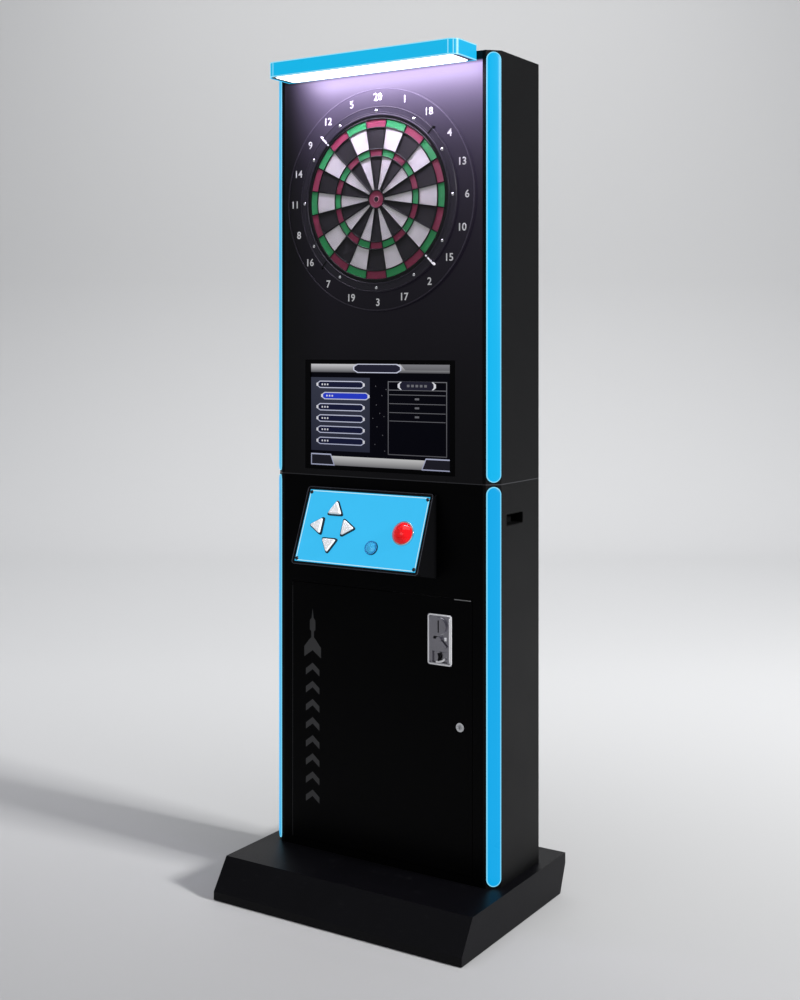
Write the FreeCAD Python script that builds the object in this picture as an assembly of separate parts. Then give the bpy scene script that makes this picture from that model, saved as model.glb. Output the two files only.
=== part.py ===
import FreeCAD, Part
import math
import os

# Free-standing electronic dart board cabinet. Millimetres.
# X to the right, Y from the player's side towards the back, Z up.
# The origin is on the floor under the middle of the plinth.

# ---- overall sizes -------------------------------------------------------
PLINTH_SIDE = 27.0          # plinth beyond each side of the cabinet
PLINTH_D = 523.0
PLINTH_TOP = 95.8
PLINTH_LIP = 22.0          # upright part of the front edge
PLINTH_RAMP = 49.0         # how far the front slopes back
PLINTH_TAIL = 29.0         # how far the back leans in at the floor
PLINTH_TAIL_Z = 70.0
PLINTH_WALL = 3.0
PLINTH_BOARD = 18.0
PAD_T = 4.0
PAD_SIZE = 60.0

FACE = -54.5               # front face of the cabinet
CAB_W = 652.0
CAB_D = 221.0
CHAMFER = 27.0             # leg of the 45 degree front corners
LOWER_H = 947.0
SEAM = 2.0
UPPER_H = 1020.2
BOARD = 16.0               # panel thickness
BACK_T = 10.0
POST_FLAT = 9.0            # flat front strip of each corner post
POST_D = 33.0
PANEL_GAP = 0.5

# ---- fits ----------------------------------------------------------------
CLEAR = 0.3                # loose fit between pieces
RUN = 0.06                 # running fit of a plunger or pin
DOOR_GAP = 1.5             # gap round a door
HINGE_GAP = 6.0            # gap at a door's hinge side
LEAF = 1.0                 # hinge leaf thickness
KNUCKLE_R = 1.7
HINGE_PIN_R = 0.8
HINGE_SINK = 1.2           # hinge axis behind the outer face

# ---- light strips --------------------------------------------------------
STRIP_W = 36.0
STRIP_T = 3.0
STRIP_END = 4.0            # distance from each end of its cabinet
TAPE_W = 10.0
TAPE_T = 1.5
TAPE_GROOVE_W = 12.0
TAPE_GROOVE_D = 3.0

# ---- side handles --------------------------------------------------------
HANDLE_Y = 94.0            # behind the front face
HANDLE_DROP = 85.8         # below the top of the lower cabinet
HANDLE_W = 86.0
HANDLE_H = 30.0
HANDLE_D = 34.0
HANDLE_WALL = 2.0
HANDLE_R = 5.0

# ---- lamp ----------------------------------------------------------------
LAMP_SIDE = 52.0           # hood's ends inside the cabinet's sides
LAMP_D = 98.0
LAMP_RISE = 14.8           # hood's top above the cabinet
LAMP_H = 37.2
LAMP_R = 24.0
LAMP_WALL = 3.0
LAMP_FRAME_T = 6.0
DIFFUSER_LEFT = 16.0       # inside the hood's left end
DIFFUSER_RIGHT = 36.0      # inside the hood's right end
DIFFUSER_FRONT = 73.0      # ahead of the face
DIFFUSER_BACK = 8.0
DIFFUSER_T = 3.0
DIFFUSER_LAP = 4.0

# ---- dart board ----------------------------------------------------------
BULL_RISE = 685.2          # bull above the foot of the upper cabinet
DISC_BAND = 46.0           # number ring outside the catch ring
DISC_FIT = 0.5             # number ring clear of the spider
DISC_T = 6.0
DISC_RIM = 3.0
RING_LAP = 3.2             # catch ring's edge outside the doubles
RING_BAND = 22.5           # catch ring outside the spider
RING_T = 8.0
RING_GAP = 3.0
RING_SCREW_IN = 11.0       # screws inside the catch ring's edge
SPIDER_RIM = 8.7           # spider outside the doubles
SPIDER_FRONT = 14.0
SPIDER_WIRE = 1.6
SEGMENT_FRONT = 12.5
BOARD_HOLE_FIT = 1.5       # panel's hole clear of the spider
R_INNER_BULL = 8.0
R_OUTER_BULL = 21.0
R_SINGLE_IN = 23.0
R_TREBLE_IN = 105.0
R_TREBLE_OUT = 123.0
R_DOUBLE_IN = 176.0
R_DOUBLE_OUT = 196.8
SECTORS = 20
PRESS = 1.5                # how far a bull goes in
MEMBRANE_T = 1.5
MEMBRANE_LAP = 12.5        # membrane outside the spider
BACKPLATE_T = 10.0
BACKPLATE_RIM = 8.0        # backplate outside the membrane

# ---- monitor -------------------------------------------------------------
MON_X = -4.5
MON_RISE = 136.5           # screen's middle above the upper cabinet's lowest deck
SCREEN_W = 411.0
SCREEN_H = 257.0
WINDOW_EDGE_X = 14.5       # window beyond the screen, each side
WINDOW_EDGE_Z = 9.5
WINDOW_T = 5.0
SCREEN_T = 3.0
SCREEN_LAP = 1.5
MON_CASE_EDGE_X = 8.5      # case beyond the screen, each side
MON_CASE_EDGE_Z = 6.5
MON_CASE_D = 42.0
MON_EAR = 26.0
MON_EAR_T = 3.0

# ---- console -------------------------------------------------------------
CON_X = -20.0
CON_TOP_Y = 15.0           # ahead of the face, upper edge of the plate
CON_TOP_DROP = 34.8        # these four below the top of the lower cabinet
CON_BOT_Y = 84.0
CON_BOT_DROP = 205.8
PLATE_W = 352.6
PLATE_T = 3.0
CON_RIM = 8.0
CON_LEDGE = 10.0
CON_LEDGE_T = 3.0
CON_WALL = 3.0
CON_ROUND = 8.0
CON_FOOT_DROP = 230.8
CON_HEAD_DROP = 23.8
CON_SCREW_INSET_X = 5.3
CON_SCREW_INSET_V = 6.7
CROSS_X = -84.0            # centre of the four arrows, from the plate's middle
CROSS_ARM = 46.0
ARROW_BEZEL = 43.0
ARROW_CAP = 30.0
BLUE_AT = (41.4, -43.5)
RED_AT = (122.3, -1.7)
BLUE_BEZEL_R = 17.5
BLUE_CAP_R = 13.0
RED_BEZEL_R = 30.0
RED_CAP_R = 26.0
BEZEL_H = 5.0
STEM_R = 11.0
PLUNGER_R = 6.0
STEM_L = 28.0
BUTTON_TRAVEL = 3.0
SWITCH = (12.0, 18.0, 14.0)
CON_HOLE_EDGE = 11.3       # wiring hole inside the plate's sides
CON_HOLE_UP = 11.0         # above the plate's lower edge
CON_HOLE_DOWN = 8.0        # below the plate's upper edge

# ---- service door --------------------------------------------------------
DOOR_SIDE = 28.0           # panel left on each side of the door
DOOR_FOOT = 20.2           # above the plinth
DOOR_DROP = 274.8          # below the top of the lower cabinet
LOCK_IN = 32.0             # lock inside the door's free edge
LOCK_DROP = 303.0          # lock below the door's top
LOCK_R = 9.0
LOCK_FLANGE_R = 10.8
LOCK_NUT_R = 13.0
PLUG_R = 6.0
CAM_W = 12.0
CAM_T = 2.0
COIN_IN = 87.0             # coin plate inside the door's free edge
COIN_DROP = 101.0          # below the door's top
COIN_W = 67.0
COIN_H = 122.0
COIN_T = 3.0
COIN_CUT_EDGE = 2.0        # cut in the door round the cup
COIN_CUT_DROP = 4.0
SLOT_W = 3.4
SLOT_H = 29.0
SLOT_RISE = 33.0
LEVER_RISE = 2.0
LEVER_BOSS_R = 6.5
LEVER_L = 27.0
CUP_W = 42.0
CUP_H = 27.0
CUP_D = 36.0
CUP_WALL = 2.0
CUP_DROP = 41.0
FLAP_T = 1.5
FLAP_PIN_R = 1.5
VALIDATOR_H = 62.0
VALIDATOR_D = 66.0
CASH_W = 150.0
CASH_D = 110.0
CASH_H = 150.0
CASH_WALL = 2.0

# ---- rear door and electrics ---------------------------------------------
REAR_W = 430.0
REAR_FOOT = 335.2          # above the foot of the upper cabinet
REAR_DROP = 105.0          # below the top
LATCH_IN = 25.0            # latch inside the rear door's free edge
LATCH_R = 5.0
INLET_IN = 110.0           # inside the side board
INLET_RISE = 94.2          # above the plinth
INLET_W = 62.0
INLET_H = 34.0
BOLT_R = 4.0
BOLT_HEAD_R = 7.0
BOLT_HEAD_T = 5.0
WASHER_R = 10.0
WASHER_T = 1.6
BOLT_IN = 30.0             # inside the side boards
BOLT_Y = (50.0, 185.0)     # behind the face

# ---- derived planes ------------------------------------------------------
BACK = FACE + CAB_D
HALF = CAB_W / 2
FLAT = HALF - CHAMFER                 # where each chamfer starts
PANEL_X = FLAT - POST_FLAT            # edge of the front panels
INNER = HALF - BOARD
Z0 = PLINTH_TOP
Z1 = Z0 + LOWER_H
Z2 = Z1 + SEAM
Z3 = Z2 + UPPER_H
PLINTH_W = CAB_W + 2 * PLINTH_SIDE
BOLT_X = INNER - BOLT_IN
HANDLE_Z = Z1 - HANDLE_DROP
LAMP_W = CAB_W - 2 * LAMP_SIDE
LAMP_Z = Z3 + LAMP_RISE - LAMP_H
DIFFUSER_X0 = DIFFUSER_LEFT - LAMP_W / 2
DIFFUSER_X1 = LAMP_W / 2 - DIFFUSER_RIGHT

# the board grows outwards from the doubles
BULL_Z = Z2 + BULL_RISE
SPIDER_R = R_DOUBLE_OUT + SPIDER_RIM
RING_IN_R = R_DOUBLE_OUT + RING_LAP
RING_OUT_R = SPIDER_R + RING_BAND
RING_SCREW_R = RING_OUT_R - RING_SCREW_IN
DISC_IN_R = SPIDER_R + DISC_FIT
DISC_R = RING_OUT_R + DISC_BAND
BOARD_HOLE_R = SPIDER_R + BOARD_HOLE_FIT
MEMBRANE_R = SPIDER_R + MEMBRANE_LAP
BACKPLATE_R = MEMBRANE_R + BACKPLATE_RIM

# the monitor's window and case grow with its screen
MON_Z = Z2 + BOARD + MON_RISE
WINDOW_W = SCREEN_W + 2 * WINDOW_EDGE_X
WINDOW_H = SCREEN_H + 2 * WINDOW_EDGE_Z
MON_CASE_W = SCREEN_W + 2 * MON_CASE_EDGE_X
MON_CASE_H = SCREEN_H + 2 * MON_CASE_EDGE_Z

# the console, doors and fittings hang from the cabinet's edges
CON_TOP_Z = Z1 - CON_TOP_DROP
CON_BOT_Z = Z1 - CON_BOT_DROP
CON_HEAD_Z = Z1 - CON_HEAD_DROP
CON_FOOT_Z = Z1 - CON_FOOT_DROP
CON_HOLE_W = PLATE_W - 2 * CON_HOLE_EDGE
CON_HOLE_Z0 = CON_BOT_Z + CON_HOLE_UP
CON_HOLE_Z1 = CON_TOP_Z - CON_HOLE_DOWN
DOOR_W = 2 * (PANEL_X - DOOR_SIDE)
DOOR_Z0 = Z0 + DOOR_FOOT
DOOR_Z1 = Z1 - DOOR_DROP
LOCK_X = DOOR_W / 2 - LOCK_IN
LOCK_Z = DOOR_Z1 - LOCK_DROP
COIN_X = DOOR_W / 2 - COIN_IN
COIN_Z = DOOR_Z1 - COIN_DROP
COIN_CUT_W = CUP_W + 2 * CUP_WALL + 2 * COIN_CUT_EDGE
REAR_HINGE_X = -REAR_W / 2
REAR_Z0 = Z2 + REAR_FOOT
REAR_Z1 = Z3 - REAR_DROP
LATCH_X = REAR_W / 2 - LATCH_IN
LATCH_Z = (REAR_Z0 + REAR_Z1) / 2
INLET_X = INNER - INLET_IN
INLET_Z = Z0 + INLET_RISE
V = FreeCAD.Vector


def box(x0, x1, y0, y1, z0, z1):
    return Part.makeBox(x1 - x0, y1 - y0, z1 - z0, V(x0, y0, z0))


def disc(r, y0, y1, x=0.0, z=0.0):
    """A round piece whose axis lies along Y."""
    return Part.makeCylinder(r, y1 - y0, V(x, y0, z), V(0, 1, 0))


def ring(r_in, r_out, y0, y1, x=0.0, z=0.0):
    return disc(r_out, y0, y1, x, z).cut(disc(r_in, y0 - 1, y1 + 1, x, z))


def post(r, z0, z1, x, y):
    """A round piece whose axis is upright."""
    return Part.makeCylinder(r, z1 - z0, V(x, y, z0))


def across(points, x0, x1):
    """A side profile of (y, z) points pulled along X."""
    wire = Part.makePolygon([V(x0, y, z) for y, z in points + points[:1]])
    return Part.Face(wire).extrude(V(x1 - x0, 0, 0))


def upright(points, z0, z1):
    """A plan of (x, y) points pulled up along Z."""
    wire = Part.makePolygon([V(x, y, z0) for x, y in points + points[:1]])
    return Part.Face(wire).extrude(V(0, 0, z1 - z0))


def round_edges(shape, radius, chosen):
    """Rounds the straight edges that the test picks."""
    edges = [e for e in shape.Edges if chosen(e)]
    return shape.makeFillet(radius, edges)


def along(axis):
    """A test for straight edges that run along X, Y or Z (0, 1, 2)."""
    def test(edge):
        d = edge.Vertexes[-1].Point - edge.Vertexes[0].Point
        return edge.Length > 0 and abs(abs(d[axis]) - edge.Length) < 1e-6
    return test


def join(shapes):
    solid = shapes[0].fuse(shapes[1:]) if len(shapes) > 1 else shapes[0]
    return solid.removeSplitter()


def mirror_x(shape):
    return shape.mirror(V(0, 0, 0), V(1, 0, 0))


def save(node, shapes):
    """Writes one node; a list becomes a group of separate solids."""
    shape = Part.makeCompound(shapes) if isinstance(shapes, list) else shapes
    shape.exportStep("parts/" + node + ".step")


# ---- plinth --------------------------------------------------------------
PLINTH_Y0 = -PLINTH_D / 2
PLINTH_Y1 = PLINTH_D / 2
SHELL_Z = PAD_T - 2.0


def plinth_profile(bottom):
    lean = PLINTH_TAIL / (PLINTH_TAIL_Z - SHELL_Z)
    return [(PLINTH_Y0, bottom), (PLINTH_Y0, PLINTH_LIP),
            (PLINTH_Y0 + PLINTH_RAMP, PLINTH_TOP), (PLINTH_Y1, PLINTH_TOP),
            (PLINTH_Y1, PLINTH_TAIL_Z),
            (PLINTH_Y1 - lean * (PLINTH_TAIL_Z - bottom), bottom)]


def hollow_profile(profile, wall, x0, x1):
    """The prism that lies one wall inside the profile."""
    wire = Part.makePolygon([V(x0, y, z) for y, z in profile + profile[:1]])
    inner = Part.Face(wire).makeOffset2D(-wall, join=2)
    return inner.extrude(V(x1 - x0, 0, 0))


def bolt_places():
    return [(sx * BOLT_X, FACE + y) for sx in (-1, 1) for y in BOLT_Y]


def drill(shape, z0, z1):
    for x, y in bolt_places():
        shape = shape.cut(post(BOLT_R + CLEAR, z0, z1, x, y))
    return shape


def plinth():
    half = PLINTH_W / 2
    shell = across(plinth_profile(SHELL_Z), -half, half)
    inner = hollow_profile(plinth_profile(-20.0), PLINTH_WALL,
                           PLINTH_WALL - half, half - PLINTH_WALL)
    shell = drill(shell.cut(inner), PLINTH_TOP - 10, PLINTH_TOP + 1)
    save("plinth_shell", shell)
    room = hollow_profile(plinth_profile(-20.0), PLINTH_WALL + CLEAR,
                          PLINTH_WALL + CLEAR - half, half - PLINTH_WALL - CLEAR)
    slab = box(-half, half, PLINTH_Y0, PLINTH_Y1, PAD_T, PAD_T + PLINTH_BOARD)
    save("plinth_board", slab.common(room))
    pads = []
    for sx in (-1, 1):
        for y in (PLINTH_Y0 + 45, PLINTH_Y1 - 90):
            x = sx * (half - 60)
            h = PAD_SIZE / 2
            pads.append(box(x - h, x + h, y - h, y + h, 0, PAD_T))
    save("plinth_pads", pads)


def bolt(x, y, z_under, grip):
    """Hexagon bolt, washer and nut, head below."""
    parts = [post(BOLT_R, z_under - 1, z_under + grip + 9, x, y)]
    for z, way in ((z_under, -1), (z_under + grip, 1)):
        lo, hi = sorted((z, z + way * WASHER_T))
        parts.append(post(WASHER_R, lo, hi, x, y))
        lo, hi = sorted((z + way * WASHER_T, z + way * (WASHER_T + BOLT_HEAD_T)))
        six = [(x + BOLT_HEAD_R * math.cos(math.radians(60 * k)),
                y + BOLT_HEAD_R * math.sin(math.radians(60 * k))) for k in range(6)]
        parts.append(upright(six, lo, hi))
    return join(parts)


def cabinet_bolts():
    low = [bolt(x, y, PLINTH_TOP - PLINTH_WALL, PLINTH_WALL + BOARD)
           for x, y in bolt_places()]
    high = [bolt(x, y, Z1 - BOARD, 2 * BOARD + SEAM) for x, y in bolt_places()]
    save("cabinet_bolts", low + high)


# ---- cabinet boards ------------------------------------------------------
def handle_slot(grow, depth):
    """The rounded block that a side handle fills, on the right side."""
    y = FACE + HANDLE_Y
    w = HANDLE_W / 2 + grow
    h = HANDLE_H / 2 + grow
    cup = box(HALF - depth, HALF + 1, y - w, y + w, HANDLE_Z - h, HANDLE_Z + h)
    return round_edges(cup, HANDLE_R + grow, along(0))


def side_boards():
    lower = box(INNER, HALF, FACE + CHAMFER, BACK, Z0, Z1)
    lower = lower.cut(handle_slot(CLEAR, BOARD + 1))
    upper = box(INNER, HALF, FACE + CHAMFER, BACK, Z2, Z3)
    save("side_boards", [lower, mirror_x(lower), upper, mirror_x(upper)])


def side_handles():
    """Recessed finger cups let into both sides."""
    body = handle_slot(0, HANDLE_D).common(box(0, HALF, -999, 999, 0, 9999))
    hollow = handle_slot(-HANDLE_WALL, HANDLE_D - HANDLE_WALL)
    cup = body.cut(hollow)
    save("side_handles", [cup, mirror_x(cup)])


def corner_posts():
    plan = [(PANEL_X + PANEL_GAP, FACE), (FLAT, FACE), (HALF, FACE + CHAMFER),
            (INNER, FACE + CHAMFER), (INNER, FACE + POST_D),
            (PANEL_X + PANEL_GAP, FACE + POST_D)]
    posts = []
    for z0, z1 in ((Z0, Z1), (Z2, Z3)):
        blank = upright(plan, z0, z1)
        groove = on_chamfer(TAPE_GROOVE_W, -TAPE_GROOVE_D, 5.0,
                            z0 + 2 * STRIP_END, z1 - 2 * STRIP_END)
        right = blank.cut(groove)
        posts += [right, mirror_x(right)]
    save("corner_posts", posts)


def on_chamfer(width, n0, n1, z0, z1):
    """An upright bar on the right chamfer from n0 to n1 off its face."""
    mx = (FLAT + HALF) / 2
    my = FACE + CHAMFER / 2
    s = math.sqrt(0.5)
    corners = []
    for a, n in ((-1, n0), (1, n0), (1, n1), (-1, n1)):
        along_face = a * width / 2
        corners.append((mx + s * along_face + s * n, my + s * along_face - s * n))
    return upright(corners, z0, z1)


def light_strips():
    """Long lenses with half-round ends, proud of the chamfers."""
    lenses = []
    tapes = []
    for z0, z1 in ((Z0, Z1), (Z2, Z3)):
        lens = on_chamfer(STRIP_W, 0, STRIP_T, z0 + STRIP_END, z1 - STRIP_END)
        ends = [e for e in lens.Edges if is_across_chamfer(e)]
        lens = lens.makeFillet(STRIP_W / 2 - 0.01, ends)
        lenses += [lens, mirror_x(lens)]
        tape = on_chamfer(TAPE_W, -TAPE_GROOVE_D, TAPE_T - TAPE_GROOVE_D,
                          z0 + 3 * STRIP_END, z1 - 3 * STRIP_END)
        tapes += [tape, mirror_x(tape)]
    save("light_strips", lenses)
    return tapes


def is_across_chamfer(edge):
    """True for the short edges that run straight out of the chamfer face."""
    d = edge.Vertexes[-1].Point - edge.Vertexes[0].Point
    return abs(edge.Length - STRIP_T) < 1e-6 and abs(d.z) < 1e-6


def lower_front():
    panel = box(-PANEL_X, PANEL_X, FACE, FACE + BOARD, Z0, Z1)
    opening = box(-DOOR_W / 2 - HINGE_GAP, DOOR_W / 2 + DOOR_GAP, FACE - 1,
                  FACE + BOARD + 1, DOOR_Z0 - DOOR_GAP, DOOR_Z1 + DOOR_GAP)
    wires = box(CON_X - CON_HOLE_W / 2, CON_X + CON_HOLE_W / 2, FACE - 1,
                FACE + BOARD + 1, CON_HOLE_Z0, CON_HOLE_Z1)
    save("lower_front_panel", panel.cut(opening).cut(wires))


def upper_front():
    panel = box(-PANEL_X, PANEL_X, FACE, FACE + BOARD, Z2, Z3)
    panel = panel.cut(disc(BOARD_HOLE_R, FACE - 1, FACE + BOARD + 1, 0, BULL_Z))
    w = WINDOW_W / 2 + CLEAR
    h = WINDOW_H / 2 + CLEAR
    window = box(MON_X - w, MON_X + w, FACE - 1, FACE + BOARD + 1,
                 MON_Z - h, MON_Z + h)
    save("upper_front_panel", panel.cut(window))


def deck(z0):
    """A level board that fits round the corner posts."""
    y0 = FACE + BOARD
    plan = [(-PANEL_X, y0), (PANEL_X, y0), (PANEL_X, FACE + POST_D),
            (INNER, FACE + POST_D), (INNER, BACK - BACK_T),
            (-INNER, BACK - BACK_T), (-INNER, FACE + POST_D),
            (-PANEL_X, FACE + POST_D)]
    return upright(plan, z0, z0 + BOARD)


def decks():
    low = drill(deck(Z0), Z0 - 1, Z0 + BOARD + 1)
    mid = drill(deck(Z1 - BOARD), Z1 - BOARD - 1, Z1 + 1)
    mid = mid.cut(box(-90, 90, FACE + 60, FACE + 160, Z1 - BOARD - 1, Z1 + 1))
    base = drill(deck(Z2), Z2 - 1, Z2 + BOARD + 1)
    base = base.cut(box(-90, 90, FACE + 60, FACE + 160, Z2 - 1, Z2 + BOARD + 1))
    save("deck_boards", [low, mid, base, deck(Z3 - BOARD)])
    plan = [(-FLAT, FACE), (FLAT, FACE), (HALF, FACE + CHAMFER), (HALF, BACK),
            (-HALF, BACK), (-HALF, FACE + CHAMFER)]
    seam = drill(upright(plan, Z1, Z2), Z1 - 1, Z2 + 1)
    save("seam_plate", seam.cut(box(-90, 90, FACE + 60, FACE + 160, Z1 - 1, Z2 + 1)))


def back_panels():
    low = box(-INNER, INNER, BACK - BACK_T, BACK, Z0, Z1)
    for row in range(6):
        z = Z0 + 640 + 22 * row
        slot = box(-90, 90, BACK - BACK_T - 1, BACK + 1, z, z + 6)
        low = low.cut(slot)
    low = low.cut(inlet_block(CLEAR, -BACK_T - 1, 1))
    up = box(-INNER, INNER, BACK - BACK_T, BACK, Z2, Z3)
    gap = box(REAR_HINGE_X - HINGE_GAP, REAR_HINGE_X + REAR_W + DOOR_GAP,
              BACK - BACK_T - 1, BACK + 1, REAR_Z0 - DOOR_GAP, REAR_Z1 + DOOR_GAP)
    save("back_panels", [low, up.cut(gap)])


# ---- lamp ----------------------------------------------------------------
def lamp_plan(inset):
    """The canopy's outline seen from above, front corners rounded."""
    return (-LAMP_W / 2 + inset, LAMP_W / 2 - inset,
            FACE - LAMP_D + inset, FACE - inset, max(LAMP_R - inset, 1.0))


def lamp_block(inset, z0, z1):
    x0, x1, y0, y1, r = lamp_plan(inset)
    block = box(x0, x1, y0, y1, z0, z1)
    front = [e for e in block.Edges
             if along(2)(e) and abs(e.Vertexes[0].Point.y - y0) < 1e-6]
    return block.makeFillet(r, front)


def lamp():
    z0 = LAMP_Z
    z1 = LAMP_Z + LAMP_H
    shell = lamp_block(0, z0, z1).cut(lamp_block(LAMP_WALL, z0 - 1, z1 - LAMP_WALL))
    save("lamp_shell", shell)
    f0 = z0 + 1.0
    f1 = f0 + LAMP_FRAME_T
    hole = box(DIFFUSER_X0, DIFFUSER_X1, FACE - DIFFUSER_FRONT,
               FACE - DIFFUSER_BACK, f0 - 1, f1 + 1)
    hole = round_edges(hole, 6.0, along(2))
    frame = lamp_block(LAMP_WALL + CLEAR, f0, f1).cut(hole)
    save("lamp_frame", frame)
    lap = DIFFUSER_LAP
    pane = box(DIFFUSER_X0 - lap, DIFFUSER_X1 + lap, FACE - DIFFUSER_FRONT - lap,
               FACE - DIFFUSER_BACK + lap, f1, f1 + DIFFUSER_T)
    save("lamp_diffuser", pane)
    top = z1 - LAMP_WALL
    y = FACE - LAMP_D / 2
    bar = box(-230, 215, y - 12, y + 12, top - 4, top)
    leds = [box(x - 3, x + 3, y - 3, y + 3, top - 6, top - 4)
            for x in range(-216, 205, 30)]
    return join([bar] + leds)


# ---- dart board ----------------------------------------------------------
def ray(r, angle, offset):
    """Point at radius r on a line that runs beside the ray at an angle."""
    a = angle + math.asin(offset / r)
    return V(r * math.sin(a), 0, BULL_Z + r * math.cos(a))


def bend(r, a, b):
    """The arc from point a to point b round the bull."""
    mid = (a - V(0, 0, BULL_Z)) + (b - V(0, 0, BULL_Z))
    mid.normalize()
    return Part.Arc(a, V(mid.x * r, 0, BULL_Z + mid.z * r), b).toShape()


def cell(number, r_in, r_out, margin, y0, y1):
    """One scoring cell, or the segment in it, kept a margin from its borders."""
    left = 2 * math.pi * (number - 0.5) / SECTORS
    right = 2 * math.pi * (number + 0.5) / SECTORS
    lo = r_in + margin
    hi = r_out - margin
    p = [ray(lo, left, margin), ray(hi, left, margin),
         ray(hi, right, -margin), ray(lo, right, -margin)]
    edges = [Part.makeLine(p[0], p[1]), bend(hi, p[1], p[2]),
             Part.makeLine(p[2], p[3]), bend(lo, p[3], p[0])]
    face = Part.Face(Part.Wire(edges))
    face.translate(V(0, y0, 0))
    return face.extrude(V(0, y1 - y0, 0))


def bands():
    """Inner single, treble, outer single and double, from the middle out."""
    return [(R_SINGLE_IN, R_TREBLE_IN), (R_TREBLE_IN, R_TREBLE_OUT),
            (R_TREBLE_OUT, R_DOUBLE_IN), (R_DOUBLE_IN, R_DOUBLE_OUT)]


def board_spider():
    y0 = FACE - SPIDER_FRONT
    y1 = FACE + BOARD
    body = disc(SPIDER_R, y0, y1, 0, BULL_Z)
    cuts = [disc(R_OUTER_BULL + CLEAR, y0 - 1, y1 + 1, 0, BULL_Z)]
    for number in range(SECTORS):
        for r_in, r_out in bands():
            cuts.append(cell(number, r_in, r_out, SPIDER_WIRE / 2, y0 - 1, y1 + 1))
    save("board_spider", body.cut(cuts))


def board_segments():
    groups = {"segments_black": [], "segments_white": [],
              "segments_red": [], "segments_green": []}
    y0 = FACE - SEGMENT_FRONT
    y1 = FACE + BOARD - CLEAR
    for number in range(SECTORS):
        dark = number % 2 == 0
        for k, (r_in, r_out) in enumerate(bands()):
            single = k % 2 == 0
            name = ("black" if dark else "white") if single else \
                   ("red" if dark else "green")
            piece = cell(number, r_in, r_out, SPIDER_WIRE / 2 + CLEAR, y0, y1)
            groups["segments_" + name].append(piece)
    for name, pieces in groups.items():
        save(name, pieces)


def bulls():
    y0 = FACE - SEGMENT_FRONT
    y1 = FACE + BOARD - PRESS - CLEAR
    save("outer_bull", ring(R_INNER_BULL + CLEAR, R_OUTER_BULL, y0, y1, 0, BULL_Z))
    save("inner_bull", disc(R_INNER_BULL, y0, y1, 0, BULL_Z))


def board_rings():
    back = FACE
    plate = ring(DISC_IN_R, DISC_R, back - DISC_T, back, 0, BULL_Z)
    rim = ring(DISC_R - DISC_RIM, DISC_R, back - DISC_T - 1.5, back - DISC_T + 1,
               0, BULL_Z)
    save("number_ring", join([plate, rim]))
    y1 = FACE - DISC_T
    y0 = y1 - RING_T
    whole = ring(RING_IN_R, RING_OUT_R, y0, y1, 0, BULL_Z)
    whole = whole.cut(disc(SPIDER_R + CLEAR, FACE - SPIDER_FRONT, y1 + 1, 0, BULL_Z))
    screws = []
    for k in range(12):
        a = math.radians(30 * k)
        x = RING_SCREW_R * math.sin(a)
        z = BULL_Z + RING_SCREW_R * math.cos(a)
        whole = whole.cut(disc(2.0 + 0.1, y0 - 1, y1 + 1, x, z))
        head = Part.makeSphere(5.0, V(x, y0 + 3.0, z))
        head = head.common(disc(4.0, y0 - 3, y0, x, z))
        screws.append(head.fuse(disc(2.0, y0, y1, x, z)).removeSplitter())
    half = RING_GAP / 2
    bar = box(-300, 300, y0 - 1, y1 + 1, BULL_Z - half, BULL_Z + half)
    for turn in (45, 135):
        gap = bar.copy()
        gap.rotate(V(0, 0, BULL_Z), V(0, 1, 0), turn)
        whole = whole.cut(gap)
    save("catch_ring", list(whole.Solids))
    return screws


def board_back():
    y = FACE + BOARD
    save("sensor_membrane", disc(MEMBRANE_R, y, y + MEMBRANE_T, 0, BULL_Z))
    plate = disc(BACKPLATE_R, y, y + BACKPLATE_T, 0, BULL_Z)
    pocket = disc(MEMBRANE_R + CLEAR, y - 1, y + MEMBRANE_T, 0, BULL_Z)
    save("board_backplate", plate.cut(pocket))


# ---- monitor -------------------------------------------------------------
def monitor():
    def slab(w, h, y0, y1):
        return box(MON_X - w / 2, MON_X + w / 2, y0, y1, MON_Z - h / 2, MON_Z + h / 2)
    y = FACE + WINDOW_T
    window = slab(WINDOW_W, WINDOW_H, FACE, y)
    save("monitor_window", window.cut(slab(SCREEN_W, SCREEN_H, FACE - 1, y + 1)))
    lap = 2 * SCREEN_LAP
    save("monitor_screen", slab(SCREEN_W + lap, SCREEN_H + lap, y, y + SCREEN_T))
    case = slab(MON_CASE_W, MON_CASE_H, y, y + MON_CASE_D)
    seat = slab(SCREEN_W + lap + 2 * CLEAR, SCREEN_H + lap + 2 * CLEAR,
                y - 1, y + SCREEN_T)
    ears = slab(MON_CASE_W + 2 * MON_EAR, MON_CASE_H - 40,
                FACE + BOARD, FACE + BOARD + MON_EAR_T)
    save("monitor_case", case.fuse(ears).removeSplitter().cut(seat))


# ---- console -------------------------------------------------------------
# The plate lies in its own plane: u to the right, v up the slope, n outwards.
CON_A = V(0, FACE - CON_TOP_Y, CON_TOP_Z)
CON_B = V(0, FACE - CON_BOT_Y, CON_BOT_Z)
PLATE_L = (CON_A - CON_B).Length
CON_V = (CON_A - CON_B).normalize()
CON_N = V(0, -CON_V.z, CON_V.y)
CON_MID = (CON_A + CON_B) * 0.5 + V(CON_X, 0, 0)


def tilt(shape):
    """Moves a piece drawn flat (u, v, n as X, Y, Z) onto the console."""
    m = FreeCAD.Matrix(1, 0, 0, CON_MID.x,
                       0, CON_V.y, CON_N.y, CON_MID.y,
                       0, CON_V.z, CON_N.z, CON_MID.z,
                       0, 0, 0, 1)
    placed = shape.copy()
    placed.Placement = FreeCAD.Placement(m).multiply(shape.Placement)
    return placed


def flat_box(w, h, n0, n1):
    return box(-w / 2, w / 2, -h / 2, h / 2, n0, n1)


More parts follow.
